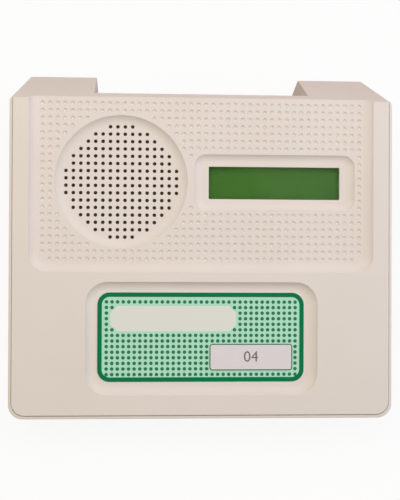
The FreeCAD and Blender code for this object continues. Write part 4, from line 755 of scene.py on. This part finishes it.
class INTERCOM_OT_label(Operator):
    """Print the label and set the numbered badge on it"""

    bl_idname = "intercom.label"
    bl_label = "Label and badge"

    def execute(self, context):
        settings = context.scene.intercom_label
        self.print_label(settings)
        self.set_badge(context, settings)
        return {"FINISHED"}

    def print_label(self, settings):
        film = grained("Printed polycarbonate film", settings.film, settings.film, grain=0.8, depth=0.004,
                       roughness=0.42)
        dress(film, "graphic_label")
        top, pitch, border = FILM_THICKNESS / 2, settings.pitch, settings.border
        # The field runs a little way under the border
        lapped = border - 0.05 * MM
        outer, inner, field = [
            rounded_outline(LABEL_WIDTH - 2 * inset, LABEL_LENGTH - 2 * inset, LABEL_CORNER - inset)
            for inset in (0, border, lapped)
        ]
        bare = Matrix.Translation(DOTS_MIDDLE + Vector((*DOT_GAPS[0][0], 0)) * pitch)
        # The bare place in columns and rows of dots, with its corners cut at 45 degrees
        cut_corners = rounded_outline(22.6 * pitch, 4.6 * pitch, 1.25 * pitch, 1)
        for name, ink, shape in (
            ("border", settings.border_ink, plate(outer, 0, top + 2 * INK, LABEL, inner)),
            ("field", settings.field_ink, plate(field, 0, top + INK, LABEL)),
            ("blank", settings.film, plate(cut_corners, 0, top + 2 * INK, LABEL @ bare)),
        ):
            mesh = mesh_from("label_" + name, shape, matt_ink("Matt ink " + name, ink))
            link_piece("label_" + name, mesh)
        link_piece("label_dots", bpy.data.meshes.new("label_dots"), dot_tree(), {
            "Columns": settings.columns, "Rows": settings.rows, "Pitch": pitch, "Radius": settings.radius,
            "Thickness": 6 * INK, "Middle": LABEL @ (DOTS_MIDDLE + Vector((0, 0, top))),
            "Turn": (TILT, 0.0, 0.0), "Material": matt_ink("Matt ink dots", settings.dot_ink),
        })

    def set_badge(self, context, settings):
        badge = Matrix.Translation(node_middle("number_badge")) @ Matrix.Rotation(TILT, 4, "X")
        # Brushed and lacquered plate: silver with a lilac cast and fine lines along it
        lacquered = ribbed("Brushed lacquered plate", linear("#DFDADB"), linear("#D5D0D1"), "Y",
                           spacing=0.5, depth=0.002, roughness=0.4, metallic=0.15)
        dress(lacquered, "number_badge")
        # The edge's outer and inner outline, each a width, a length and a corner
        outer = rounded_outline(40.8 * MM, 12.9 * MM, 1.4 * MM)
        inner = rounded_outline(39.9 * MM, 12 * MM, 1 * MM)
        rim = plate(outer, 0, BADGE_TOP + INK, badge, inner)
        edge = matt_ink("Matt ink edge", linear("#3E6B54"))
        link_piece("badge_edge", mesh_from("badge_edge", rim, edge))

        text = bpy.data.curves.new("station_number", "FONT")
        text.body = settings.number
        text.size = DIGIT_SIZE
        text.extrude = 2 * INK
        text.align_x = "CENTER"
        text.align_y = "CENTER"
        carrier = add_object("station_number", text)
        context.view_layer.update()
        digits = bpy.data.meshes.new_from_object(carrier.evaluated_get(context.evaluated_depsgraph_get()))
        bpy.data.objects.remove(carrier)
        digits.transform(badge @ Matrix.Translation((0, 0, BADGE_TOP)))
        digits.materials.clear()
        digits.materials.append(matt_ink("Matt ink number", settings.number_ink))
        link_piece("station_number", digits)


class INTERCOM_OT_display(Operator):
    """Give the display module its glass, lens, bezel, board and ribbon finishes"""

    bl_idname = "intercom.display"
    bl_label = "Display"

    def execute(self, context):
        dress(clear_acrylic(), "lcd_lens")
        dress(display_polariser(), "lcd_glass")
        coat("Black enamelled steel", "lcd_bezel")
        coat("Opal diffuser", "lcd_backlight")
        dress(solder_masked_board("Solder-masked display board"), "lcd_board")
        coat("Black glass-filled nylon", "lcd_header", "lcd_driver_chips", "ribbon_header")
        coat("Zinc-plated steel", "lcd_screws")
        dress(ribbon_jacket(), "lcd_ribbon")
        return {"FINISHED"}


class INTERCOM_OT_speaker(Operator):
    """Give the loudspeaker and what holds it their finishes"""

    bl_idname = "intercom.speaker"
    bl_label = "Loudspeaker"

    def execute(self, context):
        coat("Speaker cloth", "grille_cloth")
        coat("Foam rubber", "speaker_gasket")
        coat("Zinc-plated steel", "speaker_clamps", "speaker_clamp_screws", "speaker_top_plate",
             "speaker_yoke")
        coat("Black enamelled steel", "speaker_frame")
        coat("Sintered ferrite", "speaker_magnet")
        coat("Pressed paper pulp", "speaker_cone", "speaker_dust_cap")
        # Enamelled copper wire wound side by side: 0.16 mm wire, drawn at 0.3 mm
        winding = ribbed("Wound copper wire", linear("#B8703C"), linear("#6E3A1C"), "Z",
                         spacing=0.3, depth=0.03, roughness=0.35, metallic=1.0)
        dress(winding, "voice_coil")
        # The heights mark where the roll's inner lip climbs to its rim, and the spider's last slope
        self.hang_ring("cone_surround_roll", "speaker_surround", "Coated cloth", "soft_foam",
                       held=1.77, carried=1.07)
        self.hang_ring("cone_centring_spider", "speaker_spider", "Resin-treated cotton", "soft_cloth",
                       held=-6.53, carried=-6.03)
        coat("Tinned steel", "speaker_terminals")
        coat("White nylon", "speaker_header", "speaker_plug")
        # Vinyl jackets: one red wire and one black wire
        wires = two_part("Vinyl wire jackets", linear("#A5231C"), linear("#232323"), "X", -42.3, 2.5,
                         (0.4, 0.4), (0.0, 0.0))
        dress(wires, "speaker_wires")
        return {"FINISHED"}

    def hang_ring(self, name, node, cloth, slot, held, carried):
        """Lay a soft ring in a node's place, as a smooth copy of it in a cloth finish, and hide the node.

        Held and carried, the heights at which the case and the cone hold the ring, in millimetres along
        the panel's direction from the middle of the cone, are not used.
        """
        piece = add_object(name, mesh_from(name, merged_copy(node), finish(cloth)))
        shade_softly(piece.data, 50)
        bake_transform(piece)
        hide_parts(node)


class INTERCOM_OT_electronics(Operator):
    """Give the main board and the parts on it their finishes"""

    bl_idname = "intercom.electronics"
    bl_label = "Electronics"

    def execute(self, context):
        dress(solder_masked_board("Solder-masked main board"), "main_board")
        coat("Zinc-plated steel", "main_board_screws")
        dress(black_epoxy("Epoxy microcontroller", "microcontroller", 13.8), "microcontroller")
        dress(black_epoxy("Epoxy amplifier", "amplifier_chip", 6.4), "amplifier_chip")
        coat("Drawn nickel silver", "crystal")
        # Aluminium can under a shrunk blue sleeve, with the bare metal showing at the top
        cans = two_part("Sleeved aluminium cans", linear("#1D2C55"), linear("#C9CBCD"), "Z", 10.1, 12.7,
                        (0.35, 0.3), (0.0, 1.0))
        dress(cans, "capacitors")
        dress(laminated_core(), "line_transformers")
        # Epoxy body between a tinned tab above and tinned legs below
        regulator = two_part("Epoxy regulator with tab", linear("#1B1B1C"), linear("#C4C6C7"), "Z",
                             17.6, 4.55, (0.5, 0.3), (0.0, 1.0))
        dress(regulator, "voltage_regulator")
        coat("Black anodised aluminium", "heat_sink")
        turned = ("contrast_trimmer", "volume_trimmer", "tens_switch", "units_switch")
        coat("Blue polyester", *[piece + "_body" for piece in turned])
        coat("White nylon", *[piece + "_rotor" for piece in turned])
        return {"FINISHED"}


class INTERCOM_OT_connectors(Operator):
    """Set the spring contacts in the line sockets and the sleeve on the power pin"""

    bl_idname = "intercom.connectors"
    bl_label = "Connectors"

    def execute(self, context):
        coat("Grey ABS", "connector_plate")
        coat("Black glass-filled nylon", "line_jack_1", "line_jack_2", "power_jack")
        tree = row_tree()
        for jack in ("line_jack_1", "line_jack_2"):
            self.set_contacts(jack, tree)
        self.sleeve_pin()
        return {"FINISHED"}

    def set_contacts(self, jack, tree):
        """Eight spring contacts side by side under the ceiling of a line socket."""
        pitch, count, width, thickness = 1.02 * MM, 8, 0.45 * MM, 0.3 * MM
        low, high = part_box(jack)
        ceiling = high.z - 1.6 * MM
        # Seen from the side: anchored in the ceiling behind the mouth, then down and away from it
        line = [(high.y - 1.2 * MM, ceiling + 0.1 * MM), (high.y - 2.2 * MM, ceiling - 0.5 * MM),
                (high.y - 9.5 * MM, ceiling - 3.6 * MM)]
        outline = line + [(y, z + thickness) for y, z in reversed(line)]
        first = (low.x + high.x) / 2 - (count - 1) * pitch / 2 - width / 2
        # The plate's own X, Y and Z become Y, Z and X
        turned = Matrix(((0, 0, 1, first), (1, 0, 0, 0), (0, 1, 0, 0), (0, 0, 0, 1)))
        shape = plate(outline, 0, width, turned)
        bmesh.ops.triangulate(shape, faces=shape.faces)
        link_piece(jack + "_contacts", mesh_from(jack + "_contacts", shape), tree, {
            "Count": count, "Pitch": pitch, "Material": finish("Gold-flashed contacts"),
        })

    def sleeve_pin(self):
        """A turned sleeve with a rounded nose over the pin of the power socket."""
        low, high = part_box("power_jack")
        radius, nose, length, sides, steps = 1.06 * MM, 0.5 * MM, 9 * MM, 24, 5
        outline = [(radius, -length)] + [
            (radius - nose + nose * math.cos(turn), -nose + nose * math.sin(turn))
            for turn in (math.radians(90 * step / steps) for step in range(steps + 1))
        ]
        shape = bmesh.new()
        tip = Vector(((low.x + high.x) / 2, high.y + 0.03 * MM, low.z + 6 * MM))
        rings = []
        for distance, along in outline:
            rings.append([
                shape.verts.new(tip + Vector((distance * math.cos(2 * math.pi * side / sides), along,
                                              distance * math.sin(2 * math.pi * side / sides))))
                for side in range(sides)
            ])
        for before, after in zip(rings, rings[1:]):
            for side in range(sides):
                following = (side + 1) % sides
                shape.faces.new((before[side], before[following], after[following], after[side]))
        shape.faces.new(rings[0])
        shape.faces.new(rings[-1])
        bmesh.ops.recalc_face_normals(shape, faces=shape.faces)
        sleeve = mesh_from("power_pin_sleeve", shape, finish("Nickel plate"))
        sleeve.shade_smooth()
        sleeve.set_sharp_from_angle(angle=math.radians(40))
        link_piece("power_pin_sleeve", sleeve)


class INTERCOM_OT_stage(Operator):
    """Set the floor, the soft studio light and the camera"""

    bl_idname = "intercom.stage"
    bl_label = "Stage"

    def execute(self, context):
        settings = context.scene.intercom_stage
        scene = context.scene
        scene.view_settings.view_transform = "Standard"
        self.lay_floor(settings)
        self.light_world(scene, settings)
        for name, power, size, code, place in LIGHTS:
            self.hang_light(name, power * settings.light_level, size, code, place)

        camera = add_object("camera", bpy.data.cameras.new("camera"))
        camera.data.lens = settings.lens
        camera.data.sensor_width = FRAME_WIDTH
        camera.location = CAMERA_PLACE
        camera.rotation_euler = [math.radians(angle) for angle in CAMERA_TURN]
        scene.camera = camera
        return {"FINISHED"}

    def seen_directly(self, tree):
        """1 for rays from the camera, a mirror or glass, and 0 for those that carry light."""
        path = add_node(tree, "ShaderNodeLightPath").outputs
        shiny = add_node(tree, "ShaderNodeMath", {
            0: path["Is Glossy Ray"], 1: path["Is Transmission Ray"],
        }, operation="MAXIMUM")
        return add_node(tree, "ShaderNodeMath", {0: path["Is Camera Ray"], 1: shiny.outputs[0]},
                        operation="MAXIMUM").outputs[0]

    def lay_floor(self, settings):
        shape = bmesh.new()
        corners = ((-1, -1), (1, -1), (1, 1), (-1, 1))
        shape.faces.new([shape.verts.new((x * FLOOR_HALF, y * FLOOR_HALF, 0)) for x, y in corners])
        material, tree, _ = start_material("Matt paper floor")
        seen = self.seen_directly(tree)
        colour = add_node(tree, "ShaderNodeMix", {
            0: seen, 6: settings.bounce, 7: settings.floor,
        }, data_type="RGBA")
        paper = add_node(tree, "ShaderNodeBsdfDiffuse", {"Color": colour.outputs[2]})
        white = add_node(tree, "ShaderNodeEmission", {"Color": (1, 1, 1, 1), "Strength": 1.0})
        share = add_node(tree, "ShaderNodeMath", {0: seen, 1: FLOOR_WHITE}, operation="MULTIPLY")
        surface = add_node(tree, "ShaderNodeMixShader", {0: share.outputs[0], 1: paper.outputs[0],
                                                         2: white.outputs[0]})
        add_node(tree, "ShaderNodeOutputMaterial", {"Surface": surface.outputs[0]})
        floor = add_object("floor", mesh_from("floor", shape, material))

    def light_world(self, scene, settings):
        scene.world = bpy.data.worlds.new("studio")
        scene.world.use_nodes = True
        tree = scene.world.node_tree
        tree.nodes.clear()
        even = add_node(tree, "ShaderNodeBackground", {
            "Color": linear("#FFFDF9"), "Strength": settings.world_level,
        })
        white = add_node(tree, "ShaderNodeBackground", {"Color": (1, 1, 1, 1), "Strength": 1.0})
        both = add_node(tree, "ShaderNodeMixShader", {0: self.seen_directly(tree), 1: even.outputs[0],
                                                      2: white.outputs[0]})
        add_node(tree, "ShaderNodeOutputWorld", {"Surface": both.outputs[0]})

    def hang_light(self, name, power, size, code, place):
        lamp = bpy.data.lights.new(name, "AREA")
        lamp.shape = "SQUARE"
        lamp.size = size
        lamp.energy = power
        lamp.color = linear(code)[:3]
        light = add_object(name, lamp)
        light.location = place
        light.rotation_euler = Vector(place).to_track_quat("Z", "Y").to_euler()


OPERATORS = (
    INTERCOM_OT_case, INTERCOM_OT_label, INTERCOM_OT_display, INTERCOM_OT_speaker,
    INTERCOM_OT_electronics, INTERCOM_OT_connectors, INTERCOM_OT_stage,
)


class INTERCOM_PT_panel(Panel):
    """Sizes, colours and steps of the intercom master station"""

    bl_idname = "INTERCOM_PT_panel"
    bl_label = "Intercom"
    bl_space_type = "VIEW_3D"
    bl_region_type = "UI"
    bl_category = "Intercom"

    def draw(self, context):
        for group in GROUPS:
            settings, box = getattr(context.scene, group), self.layout.box()
            for name in settings.__annotations__:
                box.prop(settings, name)
        for operator in OPERATORS:
            self.layout.operator(operator.bl_idname)


GROUPS = {"intercom_case": CaseSettings, "intercom_label": LabelSettings, "intercom_stage": StageSettings}
CLASSES = (*GROUPS.values(), *OPERATORS, INTERCOM_PT_panel)


def register():
    for kind in CLASSES:
        bpy.utils.register_class(kind)
    for name, kind in GROUPS.items():
        setattr(bpy.types.Scene, name, PointerProperty(type=kind))


def unregister():
    for name in GROUPS:
        delattr(bpy.types.Scene, name)
    for kind in reversed(CLASSES):
        bpy.utils.unregister_class(kind)


def main():
    register()
    bpy.ops.intercom.case()
    bpy.ops.intercom.label()
    bpy.ops.intercom.display()
    bpy.ops.intercom.speaker()
    bpy.ops.intercom.electronics()
    bpy.ops.intercom.connectors()
    bpy.ops.intercom.stage()


if __name__ == "__main__":
    main()
